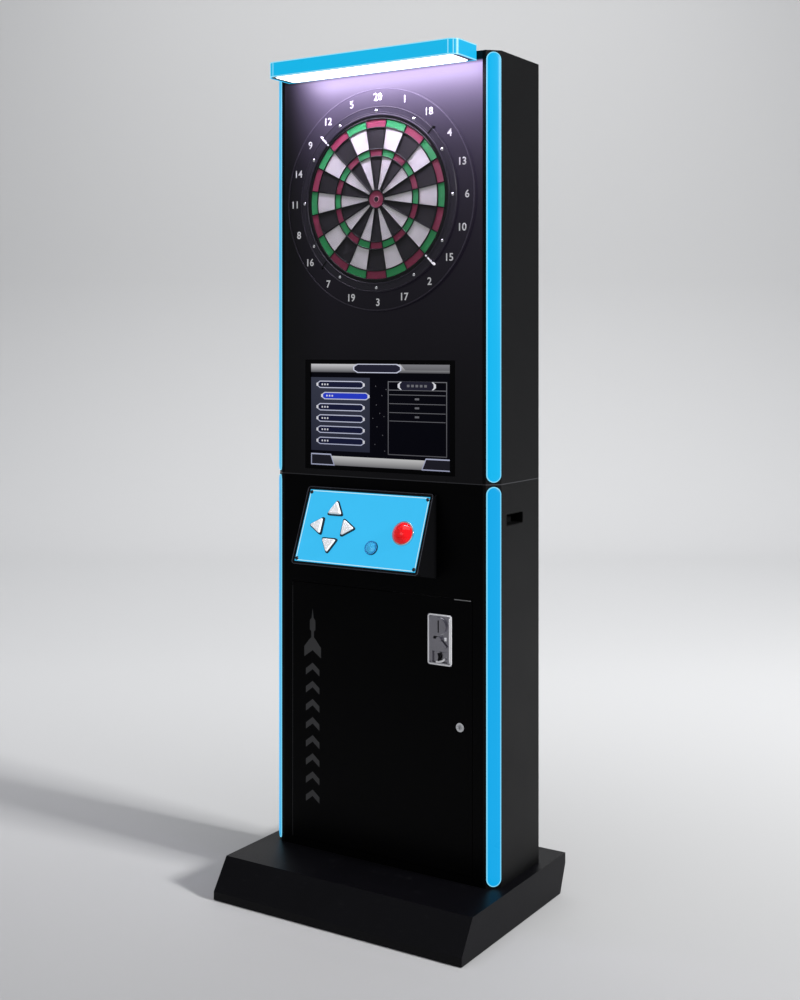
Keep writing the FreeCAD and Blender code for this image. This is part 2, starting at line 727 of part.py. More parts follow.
def console_side(grow):
    """Side outline of the wedge; grow is negative inside its walls."""
    n_out = CON_N * 1.0
    reach = CON_V * (PLATE_L / 2 + CON_RIM)
    top = CON_MID + reach + n_out
    low = CON_MID - reach + n_out
    outline = [(top.y, top.z), (FACE, CON_HEAD_Z), (FACE, CON_FOOT_Z), (low.y, low.z)]
    if grow == 0:
        return outline
    wide = [(top.y, top.z), (FACE - grow, CON_HEAD_Z + 1), (FACE - grow, CON_FOOT_Z),
            (low.y, low.z)]
    return wide


def console_housing():
    half = PLATE_W / 2 + CON_RIM
    x0 = CON_X - half
    x1 = CON_X + half
    outer = across(console_side(0), x0, x1)
    # the corners of the front rim are rounded in the plane of the plate
    rim = round_edges(flat_box(2 * half, PLATE_L + 2 * CON_RIM, -300, 1),
                      CON_ROUND, along(2))
    cap = tilt(flat_box(2 * half + 9, PLATE_L + 2 * CON_RIM + 120, -12, 1))
    outer = outer.cut(outer.common(cap).cut(tilt(rim)))
    wire = Part.makePolygon([V(x0, y, z) for y, z in
                             console_side(-20) + console_side(-20)[:1]])
    inner = Part.Face(wire).makeOffset2D(-CON_WALL, join=2)
    inner = inner.extrude(V(x1 - x0 - 2 * CON_WALL, 0, 0))
    inner.translate(V(CON_WALL, 0, 0))
    front_skin = tilt(flat_box(2 * half, PLATE_L + 80, -PLATE_T - CON_LEDGE_T, 1))
    inner = inner.cut(front_skin)
    seat = tilt(flat_box(PLATE_W + 2 * CLEAR, PLATE_L + 2 * CLEAR, -PLATE_T, 9))
    hole = tilt(flat_box(PLATE_W - 2 * CON_LEDGE, PLATE_L - 2 * CON_LEDGE, -30, 9))
    hole = hole.common(inner.fuse(front_skin))
    shell = outer.cut(inner).cut(seat).cut(hole)
    for u, v in screw_places():
        shell = shell.cut(tilt(Part.makeCylinder(1.9 + 0.1, 20, V(u, v, -15))))
    save("console_housing", shell)


def screw_places():
    u = PLATE_W / 2 - CON_SCREW_INSET_X
    v = PLATE_L / 2 - CON_SCREW_INSET_V
    return [(su * u, sv * v) for su in (-1, 1) for sv in (-1, 1)]


def arrow_places():
    """Name, place and turn of each arrow."""
    return [("arrow_up", CROSS_X, CROSS_ARM, 0),
            ("arrow_left", CROSS_X - CROSS_ARM, 0, 90),
            ("arrow_down", CROSS_X, -CROSS_ARM, 180),
            ("arrow_right", CROSS_X + CROSS_ARM, 0, 270)]


def triangle(width, n0, n1, corner):
    """Rounded triangle that points along +v, its centre at the origin."""
    height = width * 0.83
    points = [V(-width / 2, -height * 0.42, n0), V(width / 2, -height * 0.42, n0),
              V(0, height * 0.58, n0)]
    body = Part.Face(Part.makePolygon(points + points[:1])).extrude(V(0, 0, n1 - n0))
    return round_edges(body, corner, along(2))


def stem(r):
    """Threaded barrel below the plate with the plunger's bore and chamber."""
    tube = Part.makeCylinder(r, STEM_L + 0.5, V(0, 0, -STEM_L))
    bore = Part.makeCylinder(PLUNGER_R + RUN, STEM_L + 9, V(0, 0, -STEM_L - 1))
    room = Part.makeCylinder(r - 2, 9, V(0, 0, -STEM_L - 1))
    return tube, bore.fuse(room)


def plunger():
    return Part.makeCylinder(PLUNGER_R, STEM_L - BUTTON_TRAVEL - 1.5 + 5,
                             V(0, 0, -STEM_L + BUTTON_TRAVEL + 1.5))


def placed(shape, u, v, turn=0):
    spot = shape.copy()
    spot.rotate(V(0, 0, 0), V(0, 0, 1), turn)
    spot.translate(V(u, v, 0))
    return tilt(spot)


def arrow_buttons():
    tube, bore = stem(STEM_R)
    plate = triangle(ARROW_BEZEL, 0, BEZEL_H, 5.0)
    well = triangle(ARROW_CAP + 2.2, 1.0, BEZEL_H + 1, 2.5)
    bezel = plate.fuse(tube).cut(bore).cut(well)
    cap = triangle(ARROW_CAP, 1.0 + BUTTON_TRAVEL + 0.3, BEZEL_H + 4.0, 2.0)
    top = [e for e in cap.Edges if e.BoundBox.ZMin > BEZEL_H + 3.9]
    cap = cap.makeFillet(0.8, top).fuse(plunger()).removeSplitter()
    bezels = []
    for name, u, v, turn in arrow_places():
        bezels.append(placed(bezel, u, v, turn))
        save(name, placed(cap, u, v, turn))
    return bezels


def round_bezel(r, cap_r):
    tube, bore = stem(STEM_R)
    body = Part.makeCylinder(r, BEZEL_H, V(0, 0, 0))
    body = body.makeFillet(1.5, [e for e in body.Edges if e.BoundBox.ZMin > BEZEL_H - 0.1
                                 and e.Curve.TypeId == "Part::GeomCircle"])
    well = Part.makeCylinder(cap_r + 0.5, BEZEL_H, V(0, 0, 1.0))
    return body.fuse(tube).cut(bore).cut(well)


def round_cap(r, crown):
    """Round cap with a domed top of the given height."""
    n0 = 1.0 + BUTTON_TRAVEL + 0.3
    n1 = BEZEL_H + 2
    foot = -STEM_L + BUTTON_TRAVEL + 1.5
    ball_r = (r * r + crown * crown) / (2 * crown)
    half = 0.5 * math.asin(r / ball_r)
    mid = V(ball_r * math.sin(half), 0, n1 + crown - ball_r + ball_r * math.cos(half))
    corners = [V(0, 0, foot), V(PLUNGER_R, 0, foot), V(PLUNGER_R, 0, n0), V(r, 0, n0),
               V(r, 0, n1)]
    edges = [Part.makeLine(a, b) for a, b in zip(corners, corners[1:])]
    edges.append(Part.Arc(V(r, 0, n1), mid, V(0, 0, n1 + crown)).toShape())
    edges.append(Part.makeLine(V(0, 0, n1 + crown), V(0, 0, foot)))
    outline = Part.Face(Part.Wire(edges))
    return outline.revolve(V(0, 0, 0), V(0, 0, 1), 360)


def round_buttons():
    save("blue_button", placed(round_cap(BLUE_CAP_R, 2.0), *BLUE_AT))
    save("red_bezel", placed(round_bezel(RED_BEZEL_R, RED_CAP_R), *RED_AT))
    save("red_button", placed(round_cap(RED_CAP_R, 11.0), *RED_AT))
    return placed(round_bezel(BLUE_BEZEL_R, BLUE_CAP_R), *BLUE_AT)


def button_places():
    spots = [(u, v) for _, u, v, _ in arrow_places()]
    return spots + [BLUE_AT, RED_AT]


def console_plate():
    plate = flat_box(PLATE_W, PLATE_L, -PLATE_T, 0)
    for u, v in button_places():
        plate = plate.cut(Part.makeCylinder(STEM_R + CLEAR, 20, V(u, v, -10)))
    for u, v in screw_places():
        plate = plate.cut(Part.makeCylinder(2.2, 20, V(u, v, -10)))
    save("console_plate", tilt(plate))
    w, h, d = SWITCH
    body = box(-w / 2, w / 2, -h / 2, h / 2, -STEM_L - d, -STEM_L)
    save("button_switches", [placed(body, u, v) for u, v in button_places()])


def console_screws():
    screws = []
    for u, v in screw_places():
        head = Part.makeCylinder(3.8, 1.4, V(0, 0, 0))
        shank = Part.makeCylinder(1.9, PLATE_T + CON_LEDGE_T, V(0, 0, -PLATE_T - CON_LEDGE_T))
        socket = flat_box(0.9, 5.0, 0.7, 2.0)
        cross = flat_box(5.0, 0.9, 0.7, 2.0)
        screws.append(placed(head.fuse(shank).removeSplitter().cut([socket, cross]), u, v))
    return screws


# ---- hinged doors --------------------------------------------------------
def hinge_knuckles(x, y, z0, z1, pitch, first):
    """Every second knuckle of a piano hinge, drawn round its pin."""
    rolls = []
    count = int((z1 - z0) / pitch)
    for k in range(first, count, 2):
        rolls.append(post(KNUCKLE_R, z0 + k * pitch + 0.15, z0 + (k + 1) * pitch - 0.15,
                          x, y))
    return rolls


def door_hinges():
    """Fixed leaves with their knuckles and pins; returns the moving halves."""
    fixed = []
    moving = []
    plans = ((-DOOR_W / 2, FACE + HINGE_SINK, 1, DOOR_Z0, DOOR_Z1, BOARD),
             (REAR_HINGE_X, BACK - HINGE_SINK, -1, REAR_Z0, REAR_Z1, BACK_T))
    for edge, y, inward, z0, z1, depth in plans:
        axis_x = edge - HINGE_GAP / 2
        y_in = y + inward * (depth - 3)
        lo, hi = sorted((y, y_in))
        leaf = box(edge - HINGE_GAP, edge - HINGE_GAP + LEAF, lo, hi, z0, z1)
        own = hinge_knuckles(axis_x, y, z0, z1, 40.0, 0)
        other = hinge_knuckles(axis_x, y, z0, z1, 40.0, 1)
        pin = post(HINGE_PIN_R, z0, z1, axis_x, y)
        bore = post(HINGE_PIN_R + RUN, z0 - 1, z1 + 1, axis_x, y)
        webs = [box(edge - HINGE_GAP, axis_x, min(y, y + inward), max(y, y + inward),
                    r.BoundBox.ZMin, r.BoundBox.ZMax) for r in own]
        fixed.append(join([leaf, pin] + own + webs))
        leaf = box(edge - LEAF, edge, lo, hi, z0, z1)
        webs = [box(axis_x, edge, min(y, y + inward), max(y, y + inward),
                    r.BoundBox.ZMin, r.BoundBox.ZMax) for r in other]
        moving.append(join([leaf] + other + webs).cut(bore))
    save("hinge_fixed_leaves", fixed)
    save("door_hinge_leaf", moving[0])
    save("rear_hinge_leaf", moving[1])


def coin_cut():
    """The cut-out in the door that the coin gear passes through."""
    w = COIN_CUT_W / 2
    return (COIN_X - w, COIN_X + w, COIN_Z - COIN_H / 2 + COIN_CUT_DROP,
            COIN_Z + COIN_H / 2 - COIN_CUT_DROP)


def service_door():
    x1 = DOOR_W / 2
    door = box(-x1, x1, FACE, FACE + BOARD, DOOR_Z0, DOOR_Z1)
    c0, c1, d0, d1 = coin_cut()
    door = door.cut(box(c0, c1, FACE - 1, FACE + BOARD + 1, d0, d1))
    door = door.cut(disc(LOCK_R + CLEAR, FACE - 1, FACE + BOARD + 1, LOCK_X, LOCK_Z))
    for k in range(4):
        x, z = coin_screw(k)
        door = door.cut(disc(2.1, FACE - 1, FACE + 8, x, z))
    save("service_door", door)


def coin_screw(k):
    sx = (-1, 1)[k % 2]
    sz = (-1, 1)[k // 2]
    return COIN_X + sx * (COIN_W / 2 - 5), COIN_Z + sz * (COIN_H / 2 - 5)


def coin_plate():
    w = COIN_W / 2
    h = COIN_H / 2
    y0 = FACE - COIN_T
    plate = box(COIN_X - w, COIN_X + w, y0, FACE, COIN_Z - h, COIN_Z + h)
    plate = round_edges(plate, 4.0, along(1))
    slot_z = COIN_Z + SLOT_RISE
    boss = disc(20.0, y0 - 7, y0, COIN_X, slot_z)
    boss = boss.common(box(COIN_X - 9, COIN_X + 20, y0 - 7, y0, slot_z - 20, slot_z + 20))
    slot = box(COIN_X - SLOT_W / 2, COIN_X + SLOT_W / 2, y0 - 9, FACE + 1,
               slot_z - SLOT_H / 2, slot_z + SLOT_H / 2)
    ridge = box(COIN_X + w - 5, COIN_X + w - 2, y0 - 2, y0, COIN_Z - h + 10, COIN_Z + h - 10)
    cz = COIN_Z - CUP_DROP
    cw = CUP_W / 2
    ch = CUP_H / 2
    cup = box(COIN_X - cw - CUP_WALL, COIN_X + cw + CUP_WALL, FACE, FACE + CUP_D,
              cz - ch - CUP_WALL, cz + ch + CUP_WALL)
    room = box(COIN_X - cw, COIN_X + cw, y0 - 9, FACE + CUP_D - CUP_WALL, cz - ch, cz + ch)
    body = join([plate, boss, ridge, cup]).cut(slot).cut(room)
    # sockets for the flap's pin
    zp = cz + ch - FLAP_PIN_R - 0.6
    pin = Part.makeCylinder(FLAP_PIN_R + RUN, CUP_W + 3, V(COIN_X - cw - 1.5, FACE + 3, zp),
                            V(1, 0, 0))
    lever = disc(3.0 + RUN, y0 - 1, FACE + 1, COIN_X, COIN_Z + LEVER_RISE)
    for k in range(4):
        x, z = coin_screw(k)
        body = body.fuse(disc(2.0, FACE, FACE + 7, x, z))
        body = body.fuse(disc(3.6, y0 - 1.4, y0, x, z))
    save("coin_plate", body.cut(pin).cut(lever))
    flap_z0 = cz - ch + 1.0
    flap = box(COIN_X - cw + 0.5, COIN_X + cw - 0.5, FACE + 3 - FLAP_T / 2,
               FACE + 3 + FLAP_T / 2, flap_z0, zp)
    rod = Part.makeCylinder(FLAP_PIN_R, CUP_W + 2, V(COIN_X - cw - 1, FACE + 3, zp),
                            V(1, 0, 0))
    save("coin_return_flap", flap.fuse(rod).removeSplitter())
    lz = COIN_Z + LEVER_RISE
    hub = disc(LEVER_BOSS_R, y0 - 8, y0 - 0.3, COIN_X, lz)
    arm = box(COIN_X, COIN_X + LEVER_L, y0 - 6, y0 - 2, lz - 3.5, lz + 3.5)
    arm = round_edges(arm, 1.2, along(0))
    arm.rotate(V(COIN_X, 0, lz), V(0, 1, 0), 45)
    shaft = disc(3.0, y0 - 1, FACE + 12, COIN_X, lz)
    save("coin_return_lever", join([hub, arm, shaft]))


def coin_validator():
    """Coin mechanism behind the plate, with its slot and the lever's well."""
    c0, c1, d0, d1 = coin_cut()
    z1 = d1 - 1.0
    z0 = z1 - VALIDATOR_H
    body = box(c0 + CLEAR, c1 - CLEAR, FACE, FACE + VALIDATOR_D, z0, z1)
    flange = box(c0 - 9, c1 + 9, FACE + BOARD, FACE + BOARD + 2, z0 + 6, z1 + 6)
    slot_z = COIN_Z + SLOT_RISE
    slot = box(COIN_X - SLOT_W / 2, COIN_X + SLOT_W / 2, FACE - 1, FACE + 45,
               slot_z - SLOT_H / 2, slot_z + SLOT_H / 2)
    well = disc(4.5, FACE - 1, FACE + 14, COIN_X, COIN_Z + LEVER_RISE)
    chute = box(COIN_X - 12, COIN_X + 12, FACE + 40, FACE + VALIDATOR_D,
                DOOR_Z0 + 190, z0)
    bore = box(COIN_X - 10, COIN_X + 10, FACE + 42, FACE + VALIDATOR_D - 2,
               DOOR_Z0 + 189, z0 + 1)
    save("coin_validator", [join([body, flange]).cut(slot).cut(well), chute.cut(bore)])


def door_lock():
    flange = disc(LOCK_FLANGE_R, FACE - 2, FACE, LOCK_X, LOCK_Z)
    barrel = disc(LOCK_R, FACE, FACE + BOARD + 8, LOCK_X, LOCK_Z)
    nut = disc(LOCK_NUT_R, FACE + BOARD, FACE + BOARD + 4, LOCK_X, LOCK_Z)
    bore = disc(PLUG_R + RUN, FACE - 9, FACE + 60, LOCK_X, LOCK_Z)
    save("door_lock_barrel", join([flange, barrel, nut]).cut(bore))
    y = FACE + BOARD + 8.3
    reach = PANEL_X - LOCK_X - 20 + 8
    plug = disc(PLUG_R, FACE - 2, y + CAM_T, LOCK_X, LOCK_Z)
    cam = box(LOCK_X - CAM_W / 2, LOCK_X + CAM_W / 2, y, y + CAM_T,
              LOCK_Z - reach, LOCK_Z)
    keyway = box(LOCK_X - 0.9, LOCK_X + 0.9, FACE - 3, FACE + 4, LOCK_Z - 3.5, LOCK_Z + 3.5)
    save("door_lock_plug", join([plug, cam]).cut(keyway))


def rear_door():
    x0 = REAR_HINGE_X
    x1 = x0 + REAR_W
    door = box(x0, x1, BACK - BACK_T, BACK, REAR_Z0, REAR_Z1)
    for k in range(8):
        z = REAR_Z0 + 60 + 20 * k
        door = door.cut(box(-100, 100, BACK - BACK_T - 1, BACK + 1, z, z + 6))
    door = door.cut(disc(LATCH_R + RUN, BACK - BACK_T - 1, BACK + 1, LATCH_X, LATCH_Z))
    save("rear_door", door)
    knob = disc(11.0, BACK + 0.3, BACK + 6, LATCH_X, LATCH_Z)
    grip = box(LATCH_X - 2, LATCH_X + 2, BACK + 5, BACK + 15, LATCH_Z - 10, LATCH_Z + 10)
    y = BACK - BACK_T - 0.5
    shaft = disc(LATCH_R, y - 2, BACK + 1, LATCH_X, LATCH_Z)
    tongue = box(LATCH_X - 7, LATCH_X + 7, y - 2, y, LATCH_Z - 36, LATCH_Z)
    save("rear_latch", join([knob, grip, shaft, tongue]))


# ---- inside the cabinet --------------------------------------------------
def cash_box():
    """Open-topped coin box on the cabinet floor, below the chute."""
    x0 = COIN_X - CASH_W / 2
    y0 = FACE + BOARD + 18
    z0 = Z0 + BOARD
    outer = box(x0, x0 + CASH_W, y0, y0 + CASH_D, z0, z0 + CASH_H)
    room = box(x0 + CASH_WALL, x0 + CASH_W - CASH_WALL, y0 + CASH_WALL,
               y0 + CASH_D - CASH_WALL, z0 + CASH_WALL, z0 + CASH_H + 1)
    save("cash_box", outer.cut(room))


def inlet_block(grow, y0, y1):
    w = INLET_W / 2 + grow
    h = INLET_H / 2 + grow
    return box(INLET_X - w, INLET_X + w, BACK + y0, BACK + y1, INLET_Z - h, INLET_Z + h)


def power_inlet():
    body = inlet_block(0, -34, 0)
    flange = inlet_block(4, 0, 2.5)
    socket = box(INLET_X - 28, INLET_X - 2, BACK - 16, BACK + 9, INLET_Z - 9, INLET_Z + 9)
    well = box(INLET_X + 4, INLET_X + 26, BACK - 12, BACK + 9, INLET_Z - 12, INLET_Z + 12)
    pin = Part.makeCylinder(1.0 + RUN, 26, V(INLET_X + 2, BACK - 3, INLET_Z), V(1, 0, 0))
    blades = [box(INLET_X - 15 + dx - 1, INLET_X - 15 + dx + 1, BACK - 17, BACK - 5,
                  INLET_Z + dz - 2, INLET_Z + dz + 2)
              for dx, dz in ((-7, -2), (0, 3), (7, -2))]
    save("power_inlet", join([body, flange]).cut([socket, well]).fuse(blades).cut(pin))
    key = across([(BACK - 7, INLET_Z - 9.5), (BACK + 3.0, INLET_Z - 9.5),
                  (BACK + 1.0, INLET_Z), (BACK + 3.0, INLET_Z + 9.5),
                  (BACK - 7, INLET_Z + 9.5)], INLET_X + 4.6, INLET_X + 25.4)
    rod = Part.makeCylinder(1.0, 24, V(INLET_X + 3, BACK - 3, INLET_Z), V(1, 0, 0))
    save("power_rocker", key.fuse(rod).removeSplitter())


def electronics():
    y1 = BACK - BACK_T
    x = -150
    z = Z0 + BOARD
    case = box(x - 80, x + 80, y1 - 62, y1, z, z + 105)
    for k in range(9):
        gx = x - 64 + 16 * k
        case = case.cut(box(gx - 3, gx + 3, y1 - 63, y1 - 58, z + 20, z + 85))
    save("power_supply", case)
    board_x = INNER - 6
    card = box(board_x - 1.6, board_x, FACE + 60, FACE + 190, Z2 + 60, Z2 + 260)
    pegs = [Part.makeCylinder(3, 6, V(board_x, FACE + y, zz), V(1, 0, 0))
            for y in (70, 180) for zz in (Z2 + 70, Z2 + 250)]
    chips = [box(board_x - 8, board_x - 1.6, FACE + 80 + 35 * a, FACE + 104 + 35 * a,
                 Z2 + 90 + 55 * b, Z2 + 120 + 55 * b) for a in range(3) for b in range(3)]
    save("control_board", join([card] + pegs + chips))


os.makedirs("parts", exist_ok=True)
plinth()
cabinet_bolts()
side_boards()
side_handles()
corner_posts()
strip_tapes = light_strips()
lower_front()
upper_front()
decks()
back_panels()
lamp_leds = lamp()
save("led_lighting", strip_tapes + [lamp_leds])
board_spider()
board_segments()
bulls()
ring_screws = board_rings()
board_back()
monitor()
console_housing()
console_plate()
bezels = arrow_buttons()
blue_bezel = round_buttons()
save("button_bezels", bezels + [blue_bezel])
save("panel_screws", ring_screws + console_screws())
door_hinges()
service_door()
coin_plate()
coin_validator()
door_lock()
rear_door()
cash_box()
power_inlet()
electronics()
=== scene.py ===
import math

import bmesh
import bpy
import numpy as np
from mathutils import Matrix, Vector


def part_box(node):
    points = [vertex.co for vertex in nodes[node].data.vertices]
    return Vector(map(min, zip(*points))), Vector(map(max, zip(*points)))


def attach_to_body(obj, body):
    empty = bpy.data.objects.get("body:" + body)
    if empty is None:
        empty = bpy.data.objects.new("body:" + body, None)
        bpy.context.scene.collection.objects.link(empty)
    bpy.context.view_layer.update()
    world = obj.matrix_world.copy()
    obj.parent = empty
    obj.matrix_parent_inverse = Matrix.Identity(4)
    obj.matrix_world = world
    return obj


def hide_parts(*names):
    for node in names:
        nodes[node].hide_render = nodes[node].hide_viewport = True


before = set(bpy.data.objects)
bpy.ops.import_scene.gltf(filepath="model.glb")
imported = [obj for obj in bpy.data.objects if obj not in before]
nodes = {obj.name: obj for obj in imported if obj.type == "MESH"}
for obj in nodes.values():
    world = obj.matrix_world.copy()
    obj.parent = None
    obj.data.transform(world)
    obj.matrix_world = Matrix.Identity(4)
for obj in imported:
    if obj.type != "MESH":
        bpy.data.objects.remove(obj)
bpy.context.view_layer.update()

# ---- camera and studio -----------------------------------------------------
# A level camera stands to the right of the machine, a little below its board.
# The machine stands on a pale seamless sweep, lit by soft boxes and a dim room.
scene = bpy.context.scene
scene.view_settings.view_transform = "Standard"
CAMERA_AT = (1.882, -2.9245, 1.368)
CAMERA_TURN = 32.4
lens_data = bpy.data.cameras.new("camera")
lens_data.lens = 50.2
lens_data.sensor_width = 36.0
lens_data.shift_y = -0.1532
camera = bpy.data.objects.new("camera", lens_data)
camera.location = CAMERA_AT
camera.rotation_euler = (math.radians(90), 0, math.radians(CAMERA_TURN))
scene.collection.objects.link(camera)
scene.camera = camera


def tidy_closed(mesh):
    """Merges coincident points of a mesh and turns it outside out if its volume is negative."""
    work = bmesh.new()
    work.from_mesh(mesh)
    bmesh.ops.remove_doubles(work, verts=work.verts, dist=1e-6)
    bmesh.ops.dissolve_degenerate(work, edges=work.edges, dist=1e-7)
    if work.calc_volume(signed=True) < 0:
        bmesh.ops.reverse_faces(work, faces=work.faces)
    work.to_mesh(mesh)
    work.free()


def attach(name, mesh, material, body=None):
    """Makes an object of a mesh. A piece of the machine rides on a body and takes a slot."""
    mesh.materials.append(material)
    piece = bpy.data.objects.new(name, mesh)
    scene.collection.objects.link(piece)
    if body:
        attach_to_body(piece, body)
    return piece


def surface(name, points, material, body=None, smooth=True):
    """A grid of rows x columns of points joined by quads. A piece that rides on a body is closed:
    its last column joins its first. The studio's sheet has no body and stays open."""
    rows, cols = points.shape[:2]
    last = cols if body else cols - 1
    r, c = np.meshgrid(np.arange(rows - 1), np.arange(last), indexing="ij")
    n = (c + 1) % cols
    quads = np.stack([r * cols + c, r * cols + n, (r + 1) * cols + n, (r + 1) * cols + c], -1)
    mesh = bpy.data.meshes.new(name)
    mesh.from_pydata(points.reshape(-1, 3), [], quads.reshape(-1, 4))
    if body:
        tidy_closed(mesh)
    mesh.polygons.foreach_set("use_smooth", [smooth] * len(mesh.polygons))
    return attach(name, mesh, material, body)


def plug(tree, made, inputs):
    """Links each input that is given another node's socket, and sets the others."""
    for key, value in inputs.items():
        if isinstance(value, bpy.types.NodeSocket):
            tree.links.new(value, made.inputs[key])
        else:
            made.inputs[key].default_value = value
    return made


def node(tree, kind, inputs, **settings):
    """Adds a shader node with its settings and its inputs."""
    made = tree.nodes.new("ShaderNode" + kind)
    for key, value in settings.items():
        setattr(made, key, value)
    return plug(tree, made, inputs)


def mixed(tree, share, one, other):
    """The colour one, with a share of the other."""
    return node(tree, "Mix", {"Factor": share, "A": one, "B": other},
                data_type="RGBA").outputs["Result"]


def ramp(tree, value, start, stop, low=0.0, high=1.0, kind="LINEAR"):
    """Goes from low to high as the value goes from start to stop, and holds beyond both."""
    return node(tree, "MapRange", {"Value": value, "From Min": start, "From Max": stop,
                                   "To Min": low, "To Max": high},
                interpolation_type=kind).outputs["Result"]


def finish(name, colour, rough, grain=900.0, depth=0.03, blotch=0.08, metal=0.0,
           spec=0.5, glow=0.0, coat=0.0, scuff=0.0, stretch=(1, 1, 1), dim=0.0):
    """Colour and roughness drift with slow noise, fine noise raises a grain as bump,
    and stretched noise adds pale scuffs where it passes a threshold. With glow it gives light of
    its own, and dim is how dark the body under that light is."""
    mat = bpy.data.materials.new(name)
    mat.use_nodes = True
    tree = mat.node_tree
    spot = node(tree, "TexCoord", {}).outputs["Object"]
    slow = node(tree, "TexNoise", {"Vector": spot, "Scale": 7.0, "Detail": 4.0}).outputs["Fac"]
    paint = mixed(tree, slow, (*[v * (1 - blotch) for v in colour], 1),
                  (*[min(1.0, v * (1 + blotch)) for v in colour], 1))
    if scuff:
        drawn = node(tree, "Mapping", {"Vector": spot, "Scale": stretch}).outputs["Vector"]
        marks = node(tree, "TexNoise", {"Vector": drawn, "Scale": 35.0, "Detail": 8.0})
        worn = ramp(tree, marks.outputs["Fac"], 0.62, 0.78, 0.0, scuff)
        paint = mixed(tree, worn, paint, (0.35, 0.35, 0.36, 1))
    fine = node(tree, "TexNoise", {"Vector": spot, "Scale": grain, "Detail": 3.0})
    bump = node(tree, "Bump", {"Height": fine.outputs["Fac"], "Strength": depth,
                               "Distance": 0.001})
    rough_low, rough_high = max(0.02, rough - 0.07), min(1.0, rough + 0.07)
    shader = plug(tree, tree.nodes["Principled BSDF"], {
        "Base Color": paint, "Roughness": ramp(tree, slow, 0.0, 1.0, rough_low, rough_high),
        "Normal": bump.outputs["Normal"], "Metallic": metal, "Specular IOR Level": spec,
        "Coat Weight": coat})
    if glow:
        plug(tree, shader, {"Emission Color": paint, "Emission Strength": glow,
                            "Base Color": mixed(tree, dim, paint, (0.004, 0.004, 0.005, 1))})
    return mat


def wear(material, *names):
    """Gives CAD nodes one finish in all their slots."""
    for name in names:
        data = nodes[name].data
        if not data.materials:
            data.materials.append(material)
        for k in range(len(data.materials)):
            data.materials[k] = material


# sweep profile: level floor out to a bend, then a quarter circle up to a wall
SWEEP_FLOOR = 5.5
SWEEP_BEND = 2.2
SWEEP_WALL = 7.0
bend = np.linspace(0, math.pi / 2, 24)
reach = np.r_[0, 1, 2, 3.5, SWEEP_FLOOR, SWEEP_FLOOR + SWEEP_BEND * np.sin(bend[1:]),
              SWEEP_FLOOR + SWEEP_BEND]
height = np.r_[0, 0, 0, 0, 0, SWEEP_BEND * (1 - np.cos(bend[1:])), SWEEP_WALL]
across = np.linspace(-16, 16, 9)
turn = math.radians(CAMERA_TURN)
behind = np.array([-math.sin(turn), math.cos(turn)])
aside = np.array([math.cos(turn), math.sin(turn)])
# the floor also runs 12 m towards the viewer
reach = np.r_[-12.0, reach]
height = np.r_[0.0, height]
sweep = np.zeros((len(reach), len(across), 3))
sweep[..., :2] = reach[:, None, None] * behind + across[None, :, None] * aside
sweep[..., 2] = height[:, None]
paper = finish("studio_paper", (0.62, 0.62, 0.62), 0.85, grain=300.0, depth=0.01, blotch=0.01,
               spec=0.1)
# painted shade: the paper is coloured a little greyer near the viewer, where the lamps stand close over
# it
paper_tree = paper.node_tree
paper_spot = paper_tree.nodes["Texture Coordinate"].outputs["Object"]
along = node(paper_tree, "VectorMath", {0: paper_spot, 1: (behind[0], behind[1], 0)},
             operation="DOT_PRODUCT").outputs["Value"]
paper_painted_shade = mixed(paper_tree, ramp(paper_tree, along, -1.4, 2.6, kind="SMOOTHSTEP"),
             (0.36, 0.36, 0.36, 1), (0.80, 0.80, 0.80, 1))
# and more painted shade, greyer with height, up the bend and the wall
lift = node(paper_tree, "SeparateXYZ", {"Vector": paper_spot}).outputs["Z"]
shade = mixed(paper_tree, ramp(paper_tree, lift, 0.0, 1.9, 0.0, 0.36), paper_painted_shade, (0.30, 0.30, 0.30, 1))
plug(paper_tree, paper_tree.nodes["Principled BSDF"], {"Base Color": shade})
floor = surface("studio_sweep", sweep[:, ::-1], paper)

world = bpy.data.worlds.new("room")
world.use_nodes = True
world.node_tree.nodes["Background"].inputs["Color"].default_value = (0.9, 0.93, 1.0, 1)
world.node_tree.nodes["Background"].inputs["Strength"].default_value = 0.30
scene.world = world


def soft_box(name, at, aim, size, power, colour=(1, 1, 1)):
    """A rectangular soft box at a point, turned so that it faces the aim."""
    lamp = bpy.data.lights.new(name, "AREA")
    lamp.shape = "RECTANGLE"
    lamp.size, lamp.size_y = size
    lamp.energy = power
    lamp.color = colour
    holder = bpy.data.objects.new(name, lamp)
    gap = np.array(aim) - np.array(at)
    flat = math.hypot(gap[0], gap[1])
    holder.location = at
    holder.visible_camera = False
    holder.rotation_euler = (math.atan2(flat, -gap[2]), 0, math.atan2(gap[1], gap[0]) - math.pi / 2)
    scene.collection.objects.link(holder)


soft_box("key_right", (6.0, 0.1, 3.5), (0, 0, 0.9), (0.8, 1.0), 620)
soft_box("overhead", (0.3, -0.8, 5.2), (0, 0, 0), (4.0, 4.0), 60)
soft_box("front_fill", (-1.5, -5.5, 3.0), (0, 0, 1.0), (3.0, 2.0), 16)
soft_box("back_wash", (5.2 * behind[0], 5.2 * behind[1], 5.4), (5.6 * behind[0], 5.6 * behind[1], 0),
         (6.0, 3.0), 95)

